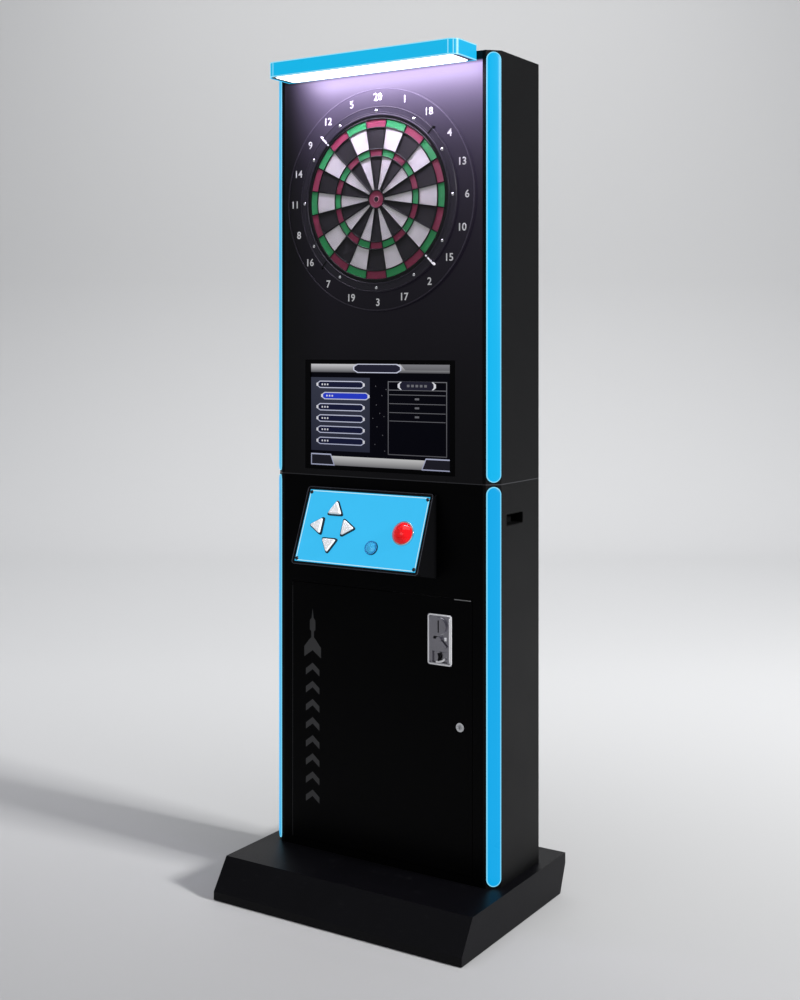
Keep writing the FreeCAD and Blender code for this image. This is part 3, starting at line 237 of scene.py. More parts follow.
# ---- plinth ------------------------------------------------------------------
# A folded sheet-steel shoe, powder coated satin black, closed by a board below.
# Four rubber pads keep it off the floor; bolts hold the cabinet down on it.
powder_coat = finish("powder_coat_black", (0.0022, 0.0021, 0.0030), 0.40, grain=1400.0, depth=0.12,
                     blotch=0.25, scuff=0.012, stretch=(1, 1, 5), spec=0.10)
raw_board = finish("raw_board", (0.22, 0.16, 0.10), 0.8, grain=500.0, depth=0.3, blotch=0.3,
                   stretch=(1, 8, 1), scuff=0.2)
pad_rubber = finish("pad_rubber", (0.02, 0.02, 0.02), 0.85, grain=2500.0, depth=0.3)
zinc_plate = finish("zinc_plate", (0.55, 0.56, 0.58), 0.32, grain=2000.0, depth=0.1, metal=1.0,
                    blotch=0.15)
wear(powder_coat, "plinth_shell")
wear(raw_board, "plinth_board", "board_backplate")
wear(pad_rubber, "plinth_pads")
hinge_black = finish("hinge_black", (0.006, 0.006, 0.007), 0.4, grain=1800.0, depth=0.1, spec=0.2,
                     scuff=0.02)
wear(zinc_plate, "cabinet_bolts")
wear(hinge_black, "hinge_fixed_leaves", "door_hinge_leaf", "rear_hinge_leaf")

# ---- cabinet ------------------------------------------------------------------
# Two stacked boxes of black laminated board with 45 degree corner posts.
# A thin grey plate closes the joint; each side has a moulded finger cup.
laminate = finish("side_laminate", (0.0016, 0.0016, 0.0017), 0.46, grain=1100.0, depth=0.16,
                  blotch=0.12, scuff=0.008, stretch=(1, 1, 6), spec=0.12)
front_film = finish("front_laminate", (0.0010, 0.0010, 0.0012), 0.34, grain=420.0, depth=0.02,
                    blotch=0.2, spec=0.05)
post_plastic = finish("post_plastic", (0.0012, 0.0012, 0.0014), 0.5, grain=900.0, depth=0.06, spec=0.1)
cup_plastic = finish("cup_plastic", (0.0015, 0.0015, 0.0015), 0.6, grain=1600.0, depth=0.2, spec=0.1)
seam_metal = finish("seam_metal", (0.05, 0.05, 0.055), 0.4, grain=1500.0, depth=0.1, metal=0.6)
wear(laminate, "side_boards", "back_panels", "rear_door", "deck_boards")
wear(front_film, "lower_front_panel", "service_door")
wear(post_plastic, "corner_posts")
wear(cup_plastic, "side_handles")
wear(seam_metal, "seam_plate")

# ---- corner light strips ----------------------------------------------------------
# Long acrylic lenses with half-round ends, screwed on the chamfers over LED tape.
# Each has a brighter polished rim where the light leaves the edge of the acrylic.
post_low, post_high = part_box("corner_posts")
seam_low, seam_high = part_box("seam_plate")
CHAMFER = 0.027
STRIP_HALF = 0.018
STRIP_STANDS = 0.003
STRIP_END = 0.004
RIM = 0.0024
FACE = float(post_low.y)
HALF = float(post_high.x)


def stadium_sweep(half_length, profile, samples=20):
    """Every (radius, height) of the profile is carried round a stadium: two straight sides joined
    by half circles of that radius. Returns points as (across, along, out)."""
    arc = np.linspace(0, math.pi, samples)
    ang = np.r_[arc, arc + math.pi]
    shift = np.r_[np.full(samples, half_length), np.full(samples, -half_length)]
    radius = np.array([p[0] for p in profile])[:, None]
    out = np.array([p[1] for p in profile])[:, None]
    return np.stack([radius * np.cos(ang), radius * np.sin(ang) + shift,
                     out + 0 * ang[None, :]], -1)


def on_chamfer(local, z_mid, side):
    """Puts (across, along, out) points on the 45 degree face of the left or right post."""
    s = math.sqrt(0.5)
    x = HALF - CHAMFER / 2 + s * local[..., 0] + s * local[..., 2]
    y = FACE + CHAMFER / 2 + s * local[..., 0] - s * local[..., 2]
    return np.stack([side * x, y, z_mid + local[..., 1]], -1)


strip_blue = {
    "upper": finish("strip_acrylic_upper", (0.001, 0.445, 0.82), 0.3, grain=60.0, depth=0.02,
                    blotch=0.03, glow=1.0, dim=0.96, spec=0.12),
    "lower": finish("strip_acrylic_lower", (0.001, 0.375, 0.77), 0.3, grain=60.0, depth=0.02,
                    blotch=0.03, glow=1.0, dim=0.96, spec=0.12)}
strip_rim = finish("strip_rim_light", (0.20, 0.66, 0.90), 0.3, grain=300.0, depth=0.02, blotch=0.05,
                   glow=0.95, dim=0.9, spec=0.12)
lens_profile = [(0, 0), (STRIP_HALF - RIM, 0), (STRIP_HALF - RIM, STRIP_STANDS * 0.9),
                (STRIP_HALF - RIM - 0.0012, STRIP_STANDS * 1.05),
                (STRIP_HALF * 0.45, STRIP_STANDS * 1.22), (0, STRIP_STANDS * 1.25)]
rim_profile = [(STRIP_HALF - RIM, 0), (STRIP_HALF, 0), (STRIP_HALF, STRIP_STANDS * 0.7),
               (STRIP_HALF - 0.001, STRIP_STANDS), (STRIP_HALF - RIM + 0.0006, STRIP_STANDS),
               (STRIP_HALF - RIM, STRIP_STANDS * 0.85), (STRIP_HALF - RIM, 0)]
for level, z0, z1 in (("lower", float(post_low.z), float(seam_low.z)),
                      ("upper", float(seam_high.z), float(post_high.z))):
    half_length = (z1 - z0) / 2 - STRIP_END - STRIP_HALF
    for side, word in ((1, "right"), (-1, "left")):
        for kind, profile, mat in (("lens", lens_profile, strip_blue[level]),
                                   ("rim", rim_profile, strip_rim)):
            shape = on_chamfer(stadium_sweep(half_length, profile), (z0 + z1) / 2, side)
            piece = surface(f"strip_{kind}_{level}_{word}", shape, mat, "cabinet")
            if kind == "lens":
                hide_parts("light_strips")
led_tape = finish("led_tape", (0.75, 0.74, 0.62), 0.5, grain=250.0, depth=0.2, glow=0.4)
wear(led_tape, "led_lighting")

# ---- lamp canopy --------------------------------------------------------------------
# A blue acrylic hood with rounded front corners stands out over the board.
# A black tray below it frames an opal pane that is lit from LED bars above.
lamp_blue = finish("lamp_acrylic", (0.004, 0.46, 0.80), 0.3, grain=50.0, depth=0.02, blotch=0.03,
                   glow=0.97, dim=0.93, spec=0.15)
# the hood's edge light finish also makes the painted highlight lines at the hood's folds
lamp_line = finish("lamp_edge_light_and_fold_highlight", (0.30, 0.76, 0.94), 0.3, grain=300.0, depth=0.02,
                   blotch=0.05, glow=0.95, dim=0.9, spec=0.12)
lamp_tray = finish("lamp_tray", (0.004, 0.003, 0.006), 0.45, grain=900.0, depth=0.08)
opal = finish("opal_pane", (1.0, 0.95, 1.0), 0.5, grain=40.0, depth=0.01, blotch=0.02, glow=3.0)
wear(lamp_blue, "lamp_shell")
wear(lamp_tray, "lamp_frame")
wear(opal, "lamp_diffuser")
tray_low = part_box("lamp_frame")[0]
hood_low, hood_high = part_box("lamp_shell")
HOOD_R = 0.024
LINE = 0.0022


def hood_path(inset, samples=16):
    """Plan of the hood's front: back left, round both front corners, back right, moved out by inset."""
    x1 = float(hood_high.x) + inset
    y0 = float(hood_low.y) - inset
    r = HOOD_R + inset
    q = np.linspace(0, math.pi / 2, samples)
    right = np.stack([x1 - r + r * np.sin(q), y0 + r - r * np.cos(q)], -1)
    left = right[::-1] * [-1, 1]
    back = float(hood_high.y)
    return np.vstack([[-x1, back], left, right, [x1, back]])


def hood_line(name, z, tall):
    """A flat bead, 0.6 mm proud, carried along the hood's plan at one height."""
    inner, outer = hood_path(-0.0004), hood_path(0.0006)
    ring = [(inner, z), (outer, z), (outer, z + tall), (inner, z + tall), (inner, z)]
    grid = np.stack([np.c_[p, np.full(len(p), h)] for p, h in ring], 1)
    ends = [np.repeat(g.mean(0)[None], g.shape[0], 0) for g in (grid[0], grid[-1])]
    shape = np.concatenate([ends[0][None], grid, ends[1][None]], 0)
    surface(name, shape[:, :-1], lamp_line, "cabinet", smooth=False)


hood_line("hood_line_low", float(hood_low.z), LINE)
hood_line("hood_line_high", float(hood_high.z) - LINE, LINE)
# the opal pane's bright lower face stands just out of the tray, with round corners
PANE_X, PANE_Y, PANE_R = 0.262, (-0.142, -0.060), 0.009
quarter = np.linspace(0, math.pi / 2, 8)
plan = np.vstack([np.stack([sx * (PANE_X - PANE_R) + PANE_R * np.cos(quarter + k * math.pi / 2),
                            (PANE_Y[1] - PANE_R if sy > 0 else PANE_Y[0] + PANE_R)
                            + PANE_R * np.sin(quarter + k * math.pi / 2)], -1)
                  for k, (sx, sy) in enumerate(((1, 1), (-1, 1), (-1, -1), (1, -1)))])
middle = plan.mean(0)
rows = [np.c_[middle + (plan - middle) * grow, np.full(len(plan), float(tray_low.z) + dz)]
        for dz, grow in ((0.0060, 0), (0.0060, 0.90), (0.0004, 0.985), (-0.0012, 0.975),
                         (-0.0016, 0.95), (-0.0016, 0))]
pane = surface("lamp_pane", np.array(rows)[::-1], opal, "cabinet", smooth=False)
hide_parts("lamp_diffuser")
lamp_light = bpy.data.lights.new("lamp_light", "AREA")
lamp_light.shape = "RECTANGLE"
lamp_light.size, lamp_light.size_y = 0.50, 0.07
lamp_light.energy = 4.2
lamp_light.color = (0.84, 0.72, 1.0)
lamp_holder = bpy.data.objects.new("lamp_light", lamp_light)
lamp_holder.location = (0, -0.122, float(tray_low.z) - 0.004)
lamp_holder.rotation_euler = (math.radians(10), 0, 0)
lamp_holder.visible_camera = False
scene.collection.objects.link(lamp_holder)
# painted lamp light: where the painted pool of lamp light below the tray starts and how it falls
POOL_TOP = float(tray_low.z) - 0.008
# each fall's length in metres and its strength at the top
POOL_STRONG = (0.060, 0.52)
POOL_WEAK = (0.20, 0.055)
POOL_SIDE = (-0.285, -0.13)


def maths(tree, kind, *terms):
    """One step of arithmetic on sockets or numbers."""
    return node(tree, "Math", dict(enumerate(terms)), operation=kind).outputs["Value"]


def hazed(mat, share=1.0):
    """Painted lamp light on a matt face: an emission stands in for the lamp's pool of light, which
    falls off below the lamp as two exponentials of the depth, and fades in from the left edge. The
    lamp stops it above, within 10 mm."""
    tree = mat.node_tree
    apart = node(tree, "SeparateXYZ",
                 {"Vector": tree.nodes["Texture Coordinate"].outputs["Object"]}).outputs
    drop = maths(tree, "SUBTRACT", apart["Z"], POOL_TOP)
    falls = [maths(tree, "MULTIPLY", maths(tree, "EXPONENT", maths(tree, "DIVIDE", drop, length)),
                   size * share)
             for length, size in (POOL_STRONG, POOL_WEAK)]
    side = ramp(tree, apart["X"], *POOL_SIDE, 0.03, 1.0, "SMOOTHSTEP")
    below = ramp(tree, apart["Z"], POOL_TOP + 0.010, POOL_TOP)
    strength = maths(tree, "MULTIPLY", maths(tree, "ADD", *falls),
                     maths(tree, "MULTIPLY", side, below))
    plug(tree, tree.nodes["Principled BSDF"],
         {"Emission Color": (1.18, 0.92, 1.74, 1), "Emission Strength": strength})
    return mat


# the upper panel carries the painted pool of lamp light
upper_film = hazed(finish("upper_front_laminate", (0.0014, 0.0013, 0.0017), 0.38, grain=420.0,
                          depth=0.02, blotch=0.2, spec=0.2))
wear(upper_film, "upper_front_panel")
# three upright painted highlight lines stand at each rounded corner, where the hood is folded; they
# glow in the hood's edge light finish
FOLD_WIDE = 0.0011
FOLD_PROUD = 0.0007
for side, word in ((1, "right"), (-1, "left")):
    for k, angle in enumerate((8, 38, 68)):
        q = math.radians(angle)
        cx = float(hood_high.x) - HOOD_R + HOOD_R * math.sin(q)
        cy = float(hood_low.y) + HOOD_R - HOOD_R * math.cos(q)
        t = np.array([math.cos(q), math.sin(q)])
        n = np.array([math.sin(q), -math.cos(q)])
        a = np.linspace(0, 2 * math.pi, 8, endpoint=False)
        foot = ([cx, cy] + t * (FOLD_WIDE * np.cos(a))[:, None]
                + n * (FOLD_PROUD * np.sin(a))[:, None])
        z0 = float(hood_low.z) + LINE
        z1 = float(hood_high.z) - LINE
        rows = []
        for z, grow in ((z0, 0), (z0, 1), (z1, 1), (z1, 0)):
            plan = foot.mean(0) + (foot - foot.mean(0)) * grow
            rows.append(np.c_[plan, np.full(8, z)])
        shape = np.array(rows)
        shape[..., 0] *= side
        surface(f"hood_fold_highlight_{word}_{k}", shape, lamp_line, "cabinet")

# ---- dart board -----------------------------------------------------------------------
# Moulded segments stand in a black spider; each is pierced by rows of tip holes.
# A number ring is screwed flat on the panel and a catch ring in four arcs lies over it.
ring_low, ring_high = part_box("number_ring")
BULL_Z = float(ring_low.z + ring_high.z) / 2
HOLE_PITCH = 0.0042
HOLE_R = 0.00125


def pierced(name, colour, rough=0.38, spec=0.5):
    """Plastic with round tip holes in two interleaved square grids, darkened with painted shade: the
    distance to the nearest grid point, in the plane of the board, below the hole's radius is hole."""
    mat = finish(name, colour, rough, grain=700.0, depth=0.05, blotch=0.06, spec=spec)
    tree = mat.node_tree
    shader = tree.nodes["Principled BSDF"]
    apart = node(tree, "SeparateXYZ",
                 {"Vector": tree.nodes["Texture Coordinate"].outputs["Object"]}).outputs
    far = []
    for shift in (0.0, 0.5):
        square = []
        for axis in ("X", "Z"):
            cell = maths(tree, "ADD", maths(tree, "DIVIDE", apart[axis], HOLE_PITCH), shift + 100)
            off = maths(tree, "SUBTRACT", maths(tree, "FRACT", cell), 0.5)
            square.append(maths(tree, "MULTIPLY", off, off))
        far.append(maths(tree, "SQRT", maths(tree, "ADD", *square)))
    hole = ramp(tree, maths(tree, "MINIMUM", *far), HOLE_R / HOLE_PITCH * 0.6, HOLE_R / HOLE_PITCH)
    paint = shader.inputs["Base Color"].links[0].from_socket
    grain = shader.inputs["Normal"].links[0].from_socket
    funnel = node(tree, "Bump", {"Height": hole, "Normal": grain, "Strength": 0.6,
                                 "Distance": 0.0012})
    plug(tree, shader, {"Base Color": mixed(tree, hole, (*[c * 0.30 for c in colour], 1), paint),
                        "Normal": funnel.outputs["Normal"]})
    return mat


segment_black = pierced("segment_black", (0.010, 0.009, 0.012), spec=0.3)
segment_white = pierced("segment_white", (0.88, 0.85, 0.86), rough=0.42)
segment_red = pierced("segment_red", (0.34, 0.022, 0.085))
segment_green = pierced("segment_green", (0.022, 0.42, 0.12))
spider_plastic = finish("spider_plastic", (0.004, 0.004, 0.005), 0.35, grain=700.0, depth=0.05,
                        spec=0.2)
# the catch ring and the number ring take shares of the painted lamp light
ring_plastic = hazed(finish("ring_plastic", (0.010, 0.009, 0.013), 0.34, grain=900.0, depth=0.12,
                            blotch=0.3, spec=0.3), 0.5)
disc_plastic = hazed(finish("number_ring_plastic", (0.0025, 0.0023, 0.0032), 0.36, grain=800.0,
                            depth=0.03, spec=0.2), 0.9)
membrane_film = finish("membrane_film", (0.30, 0.32, 0.20), 0.3, grain=300.0, depth=0.1)
screw_steel = finish("screw_steel", (0.72, 0.72, 0.74), 0.25, grain=1500.0, depth=0.05, metal=1.0)
wear(segment_black, "segments_black")
wear(segment_white, "segments_white")
wear(segment_red, "segments_red", "outer_bull")
wear(segment_green, "segments_green")
wear(spider_plastic, "board_spider")
wear(ring_plastic, "catch_ring")
wear(disc_plastic, "number_ring")
wear(membrane_film, "sensor_membrane")
wear(screw_steel, "panel_screws")


def turned(name, profile, material, body, sides):
    """A lathe shape about the board's axis: every (radius, y) of the profile makes a circle."""
    a = np.linspace(0, 2 * math.pi, sides, endpoint=False)
    radius = np.array([p[0] for p in profile])[:, None]
    depth = np.array([p[1] for p in profile])[:, None]
    shape = np.stack([radius * np.sin(a), depth + 0 * a[None, :], BULL_Z + radius * np.cos(a)], -1)
    return surface(name, shape, material, body)


SPIDER_FRONT = float(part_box("board_spider")[0].y)
DISC_FRONT = FACE - 0.006
edge_light = hazed(finish("ring_edge_painted_highlight", (0.022, 0.020, 0.026), 0.4, grain=600.0, depth=0.05,
                          spec=0.25), 1.15)
# painted highlight: a pale hairline round the number ring's edge, with a larger share of the painted
# lamp light
turned("number_ring_edge_highlight", [(0.2708, DISC_FRONT), (0.2708, DISC_FRONT - 0.0018),
                                (0.2732, DISC_FRONT - 0.0018), (0.2732, DISC_FRONT),
                                (0.2708, DISC_FRONT)], edge_light, "cabinet", 128)
# rolled beads round the catch ring's two edges and its middle groove
for name, radius, fat, high in (("catch_bead_inner", 0.2075, 0.0021, 0.0022),
                                ("catch_bead_outer", 0.2262, 0.0016, 0.0012),
                                ("catch_bead_middle", 0.2125, 0.0009, 0.0008)):
    q = np.linspace(0, math.pi, 9)
    outline = [(radius + fat * math.cos(t), SPIDER_FRONT - high * math.sin(t)) for t in q]
    outline += [(radius - fat, SPIDER_FRONT + 0.0004), (radius + fat, SPIDER_FRONT + 0.0004),
                outline[0]]
    turned(name, outline, ring_plastic, "cabinet", 128)

# the inner bull is domed and has a red collar round a black eye
bull_low, bull_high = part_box("inner_bull")
bull_front = float(bull_low.y)
bull_back = float(bull_high.y)
eye = turned("inner_bull_eye", [(0, bull_back), (0.0062, bull_back), (0.0062, bull_front - 0.0006),
                                (0.0050, bull_front - 0.0014), (0.0026, bull_front - 0.0010),
                                (0, bull_front - 0.0002)],
             segment_black, "inner_bull_press", 48)
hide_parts("inner_bull")
bull_collar = pierced("bull_collar_pink", (0.62, 0.22, 0.30))
turned("inner_bull_collar", [(0.0062, bull_back), (0.0080, bull_back), (0.0080, bull_front - 0.0004),
                             (0.0072, bull_front - 0.0010), (0.0062, bull_front - 0.0008),
                             (0.0062, bull_back)],
       bull_collar, "inner_bull_press", 48)

# spider wires: a raised ridge over each ring wall and each of the twenty spokes
wire_paint = finish("spider_wire", (0.004, 0.004, 0.005), 0.22, grain=500.0, depth=0.03, spec=0.4)
WIRE_RINGS = (0.0222, 0.105, 0.123, 0.176, 0.1972)
for k, radius in enumerate(WIRE_RINGS):
    q = np.linspace(0, math.pi, 7)
    outline = [(radius + 0.0015 * math.cos(t), SPIDER_FRONT - 0.0008 * math.sin(t)) for t in q]
    outline += [(radius - 0.0015, SPIDER_FRONT + 0.0005), (radius + 0.0015, SPIDER_FRONT + 0.0005),
                outline[0]]
    turned(f"spider_ring_{k}", outline, wire_paint, "cabinet", 120)
spokes = []
for k in range(20):
    q = math.radians(18 * k + 9)
    out = np.array([math.sin(q), 0, math.cos(q)])
    side = np.array([math.cos(q), 0, -math.sin(q)])
    t = np.linspace(0, 2 * math.pi, 8, endpoint=False)
    section = side * (0.0013 * np.cos(t))[:, None] - np.array([0, 1, 0]) * (0.0007 * np.sin(t))[:, None]
    rows = [out * 0.0225 + 0 * section, out * 0.0225 + section, out * 0.1965 + section,
            out * 0.1965 + 0 * section]
    spokes.append(np.array(rows) + [0, SPIDER_FRONT, BULL_Z])
spoke_points = np.array(spokes)
base = np.arange(20)[:, None, None, None] * 32
r, c = np.meshgrid(np.arange(3), np.arange(8), indexing="ij")
n = (c + 1) % 8
quads = np.stack([r * 8 + c, r * 8 + n, (r + 1) * 8 + n, (r + 1) * 8 + c], -1)
mesh = bpy.data.meshes.new("spider_spokes")
mesh.from_pydata(spoke_points.reshape(-1, 3), [], (base + quads[None]).reshape(-1, 4))
tidy_closed(mesh)
attach("spider_spokes", mesh, wire_paint, "cabinet")

# metal keys close the four gaps between the catch ring's arcs; two opposite keys are painted bright
# with a glow as a painted highlight, the other two black as painted shade
key_painted_highlight = finish("key_painted_highlight", (0.80, 0.78, 0.84), 0.35, grain=900.0, depth=0.05, glow=0.35)
key_painted_shade = finish("key_painted_shade", (0.003, 0.003, 0.004), 0.3, grain=900.0, depth=0.05, spec=0.2)
for k, angle in enumerate((45, 135, 225, 315)):
    q = math.radians(angle)
    out = np.array([math.sin(q), 0, math.cos(q)])
    side = np.array([math.cos(q), 0, -math.sin(q)])
    rows = []
    for r, grow in ((0.2010, 0), (0.2010, 1), (0.2340, 1), (0.2340, 0)):
        section = np.array([side * 0.0019 * a + np.array([0, 1, 0]) * b for a, b in
                            ((-1, -0.0012), (1, -0.0012), (1, 0.0065), (-1, 0.0065))])
        middle = section.mean(0)
        rows.append(out * r + middle + (section - middle) * grow)
    shape = np.array(rows) + [0, SPIDER_FRONT, BULL_Z]
    surface(f"catch_ring_key_{k}", shape, key_painted_highlight if k % 2 else key_painted_shade,
            "cabinet", smooth=False)

# raised white numerals, upright all the way round; their glow is painted light
numeral_white = finish("numeral_white", (0.55, 0.55, 0.56), 0.45, grain=900.0, depth=0.05, glow=0.30,
                       spec=0.1)
NUMERALS = (20, 1, 18, 4, 13, 6, 10, 15, 2, 17, 3, 19, 7, 16, 8, 11, 14, 9, 12, 5)
NUMERAL_R = 0.2525
NUMERAL_SIZE = 0.0255
NUMERAL_WEIGHT = 0.00035
NUMERAL_PROUD = 0.0003


def raised_number(number, x, z):
    """A number in the built-in face, upright about (x, z) on the number ring's face."""
    name = f"numeral_{number}"
    curve = bpy.data.curves.new(name, "FONT")
    curve.body = str(number)
    curve.size = NUMERAL_SIZE
    curve.offset = NUMERAL_WEIGHT
    curve.extrude = NUMERAL_PROUD
    curve.resolution_u = 4
    curve.align_x = "CENTER"
    curve.align_y = "CENTER"
    holder = bpy.data.objects.new(name + "_curve", curve)
    scene.collection.objects.link(holder)
    bpy.context.view_layer.update()
    mesh = bpy.data.meshes.new_from_object(holder)
    mesh.name = name
    bpy.data.objects.remove(holder)
    co = np.empty(len(mesh.vertices) * 3, np.float32)
    mesh.vertices.foreach_get("co", co)
    co = co.reshape(-1, 3)
    co[:, 0] -= (co[:, 0].max() + co[:, 0].min()) / 2
    co[:, 1] -= (co[:, 1].max() + co[:, 1].min()) / 2
    placed = np.stack([x + co[:, 0], DISC_FRONT - co[:, 2], z + co[:, 1]], -1)
    mesh.vertices.foreach_set("co", placed.astype(np.float32).ravel())
    mesh.update()
    mesh.materials.clear()
    attach(name, mesh, numeral_white, "cabinet")


for k, number in enumerate(NUMERALS):
    q = math.radians(18 * k)
    raised_number(number, NUMERAL_R * math.sin(q), BULL_Z + NUMERAL_R * math.cos(q))

# ---- monitor -----------------------------------------------------------------------------
# A flat screen sits behind a black acrylic mask let flush into the upper panel.
# It shows a menu: metal bars, a column of pills and an outlined list, with no words.
mask_gloss = finish("mask_acrylic", (0.0012, 0.0012, 0.0015), 0.16, grain=200.0, depth=0.005,
                    blotch=0.1, spec=0.08)
screen_off = finish("screen_dark", (0.0012, 0.0012, 0.003), 0.3, grain=900.0, depth=0.01, glow=0.6,
                    blotch=0.2, spec=0.05)
case_paint = finish("case_paint", (0.09, 0.09, 0.10), 0.5, grain=1200.0, depth=0.1)
wear(mask_gloss, "monitor_window")
wear(screen_off, "monitor_screen")
wear(case_paint, "monitor_case", "power_supply", "cash_box")
screen_low, screen_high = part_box("monitor_screen")
SCREEN_Y = float(screen_low.y)
VIEW_W = 0.411
VIEW_H = 0.257
VIEW_X0 = float(screen_low.x + screen_high.x) / 2 - VIEW_W / 2
VIEW_Z1 = float(screen_low.z + screen_high.z) / 2 + VIEW_H / 2


def lit(name, low, high, bright=1.0, top=1.0, bottom=0.0):
    """Screen light that fades in height from the low colour at fraction bottom of the screen's
    height to the high one at fraction top."""
    mat = finish(name, high, 0.35, grain=1500.0, depth=0.01, blotch=0.05, spec=0.05)
    tree = mat.node_tree
    height = node(tree, "SeparateXYZ",
                  {"Vector": tree.nodes["Texture Coordinate"].outputs["Object"]}).outputs["Z"]
    fade = ramp(tree, height, VIEW_Z1 - VIEW_H * (1 - bottom), VIEW_Z1 - VIEW_H * (1 - top))
    light = mixed(tree, fade, (*low, 1), (*high, 1))
    plug(tree, tree.nodes["Principled BSDF"],
         {"Emission Color": light, "Emission Strength": bright,
          "Base Color": mixed(tree, 0.94, light, (0.002, 0.002, 0.003, 1))})
    return mat


def slabs(name, x, z, back, front, material, body):
    """Thin closed prisms from y = back to y = front over outlines in x and z, one in each row."""
    count, size = x.shape
    ends = [np.stack([x, np.full_like(x, y), z], -1) for y in (back, front)]
    points = np.stack(ends, 1).reshape(-1, 3)
    start = np.arange(count)[:, None] * 2 * size
    k = np.arange(size)
    nxt = (k + 1) % size
    sides = np.stack([start + k, start + nxt, start + size + nxt, start + size + k], -1)
    faces = sides.reshape(-1, 4).tolist()
    faces += (start + k[::-1]).tolist() + (start + size + k).tolist()
    mesh = bpy.data.meshes.new(name)
    mesh.from_pydata(points, [], faces)
    work = bmesh.new()
    work.from_mesh(mesh)
    bmesh.ops.recalc_face_normals(work, faces=work.faces)
    work.to_mesh(mesh)
    work.free()
    attach(name, mesh, material, body)


LAYER = 0.00012


def prisms(name, outlines, layer, material):
    """Shapes on the screen, over outlines in fractions (across, down) of its lit area. Each layer
    stands 0.12 mm nearer the viewer. All outlines of one piece have as many points each."""
    uv = np.array(outlines, float)
    face = SCREEN_Y - LAYER * layer
    slabs(name, VIEW_X0 + uv[..., 0] * VIEW_W, VIEW_Z1 - uv[..., 1] * VIEW_H,
          face + LAYER / 2, face - LAYER, material, "cabinet")


def bar(u0, u1, v0, v1, cut=0.0):
    """A rectangle, or with cut a bar whose ends are clipped to a blunt point."""
    mid = (v0 + v1) / 2
    if cut == 0:
        return [(u0, v0), (u1, v0), (u1, v1), (u0, v1)]
    return [(u0 + cut, v0), (u1 - cut, v0), (u1, mid - (v1 - v0) * 0.2), (u1, mid + (v1 - v0) * 0.2),
            (u1 - cut, v1), (u0 + cut, v1), (u0, mid + (v1 - v0) * 0.2), (u0, mid - (v1 - v0) * 0.2)]


steel_top = lit("menu_steel_top", (0.07, 0.07, 0.08), (0.62, 0.62, 0.64), 0.9, 1.0, 0.915)
steel_foot = lit("menu_steel_foot", (0.14, 0.14, 0.15), (0.62, 0.62, 0.62), 0.85, 0.11, 0.0)
panel_grey = lit("menu_panel_grey", (0.016, 0.018, 0.034), (0.045, 0.050, 0.078), 0.8)
pill_line = lit("menu_pill_line", (0.34, 0.36, 0.50), (0.62, 0.64, 0.78), 0.9)
pill_dark = lit("menu_pill_dark", (0.006, 0.008, 0.03), (0.008, 0.010, 0.035), 0.9)
pill_blue = lit("menu_pill_blue", (0.012, 0.022, 0.30), (0.02, 0.045, 0.55), 1.0)
rule_grey = lit("menu_rule_grey", (0.07, 0.07, 0.08), (0.17, 0.17, 0.19), 0.9)
mark_white = lit("menu_mark_white", (0.55, 0.55, 0.6), (0.75, 0.75, 0.8), 0.9)
tab_dark = lit("menu_tab_dark", (0.01, 0.01, 0.015), (0.015, 0.015, 0.03), 0.9)

prisms("menu_header", [bar(0.0, 1.0, 0.004, 0.085)], 1, steel_top)
prisms("menu_header_dark_half", [[(0.655, 0.004), (0.998, 0.004), (0.998, 0.06), (0.69, 0.06)]], 2,
       lit("menu_header_shade", (0.10, 0.10, 0.11), (0.24, 0.24, 0.26), 0.8, 1.0, 0.915))
prisms("menu_header_capsule", [bar(0.315, 0.66, 0.0, 0.088, 0.03)], 3, pill_line)
prisms("menu_header_capsule_fill", [bar(0.323, 0.652, 0.008, 0.080, 0.027)], 4, tab_dark)
prisms("menu_left_panel", [bar(0.0, 0.435, 0.135, 0.855)], 1, panel_grey)
PILL_V = 0.205 + 0.1105 * np.arange(6)
PILL_U = np.array([0.045, 0.080, 0.045, 0.045, 0.045, 0.045])
prisms("menu_pill_lines", [bar(u, u + 0.35, v - 0.036, v + 0.036, 0.022)
                           for u, v in zip(PILL_U, PILL_V)], 2, pill_line)
prisms("menu_pills", [bar(u + 0.006, u + 0.344, v - 0.027, v + 0.027, 0.019)
                      for k, (u, v) in enumerate(zip(PILL_U, PILL_V)) if k != 1], 3, pill_dark)
prisms("menu_pill_chosen", [bar(PILL_U[1] + 0.006, PILL_U[1] + 0.344, PILL_V[1] - 0.027,
                                PILL_V[1] + 0.027, 0.019)], 3, pill_blue)
prisms("menu_pill_marks", [bar(u + 0.035 + 0.02 * j, u + 0.045 + 0.02 * j, v - 0.008, v + 0.008)
                           for u, v in zip(PILL_U, PILL_V) for j in (0, 1, 2)]
       + [bar(u - 0.004, u + 0.010, v - 0.014, v + 0.014) for u, v in zip(PILL_U, PILL_V)]
       + [bar(u + 0.340, u + 0.354, v - 0.014, v + 0.014) for u, v in zip(PILL_U, PILL_V)],
       4, mark_white)
STARS = [(0.475, 0.21), (0.52, 0.30), (0.48, 0.39), (0.505, 0.47), (0.535, 0.50), (0.485, 0.60),
         (0.525, 0.68), (0.47, 0.77), (0.54, 0.83), (0.455, 0.52), (0.55, 0.24)]
prisms("menu_sparks", [bar(u, u + 0.005, v, v + 0.008) for u, v in STARS], 1, rule_grey)
OUT = (0.565, 0.975, 0.165, 0.868)
EDGE = 0.005
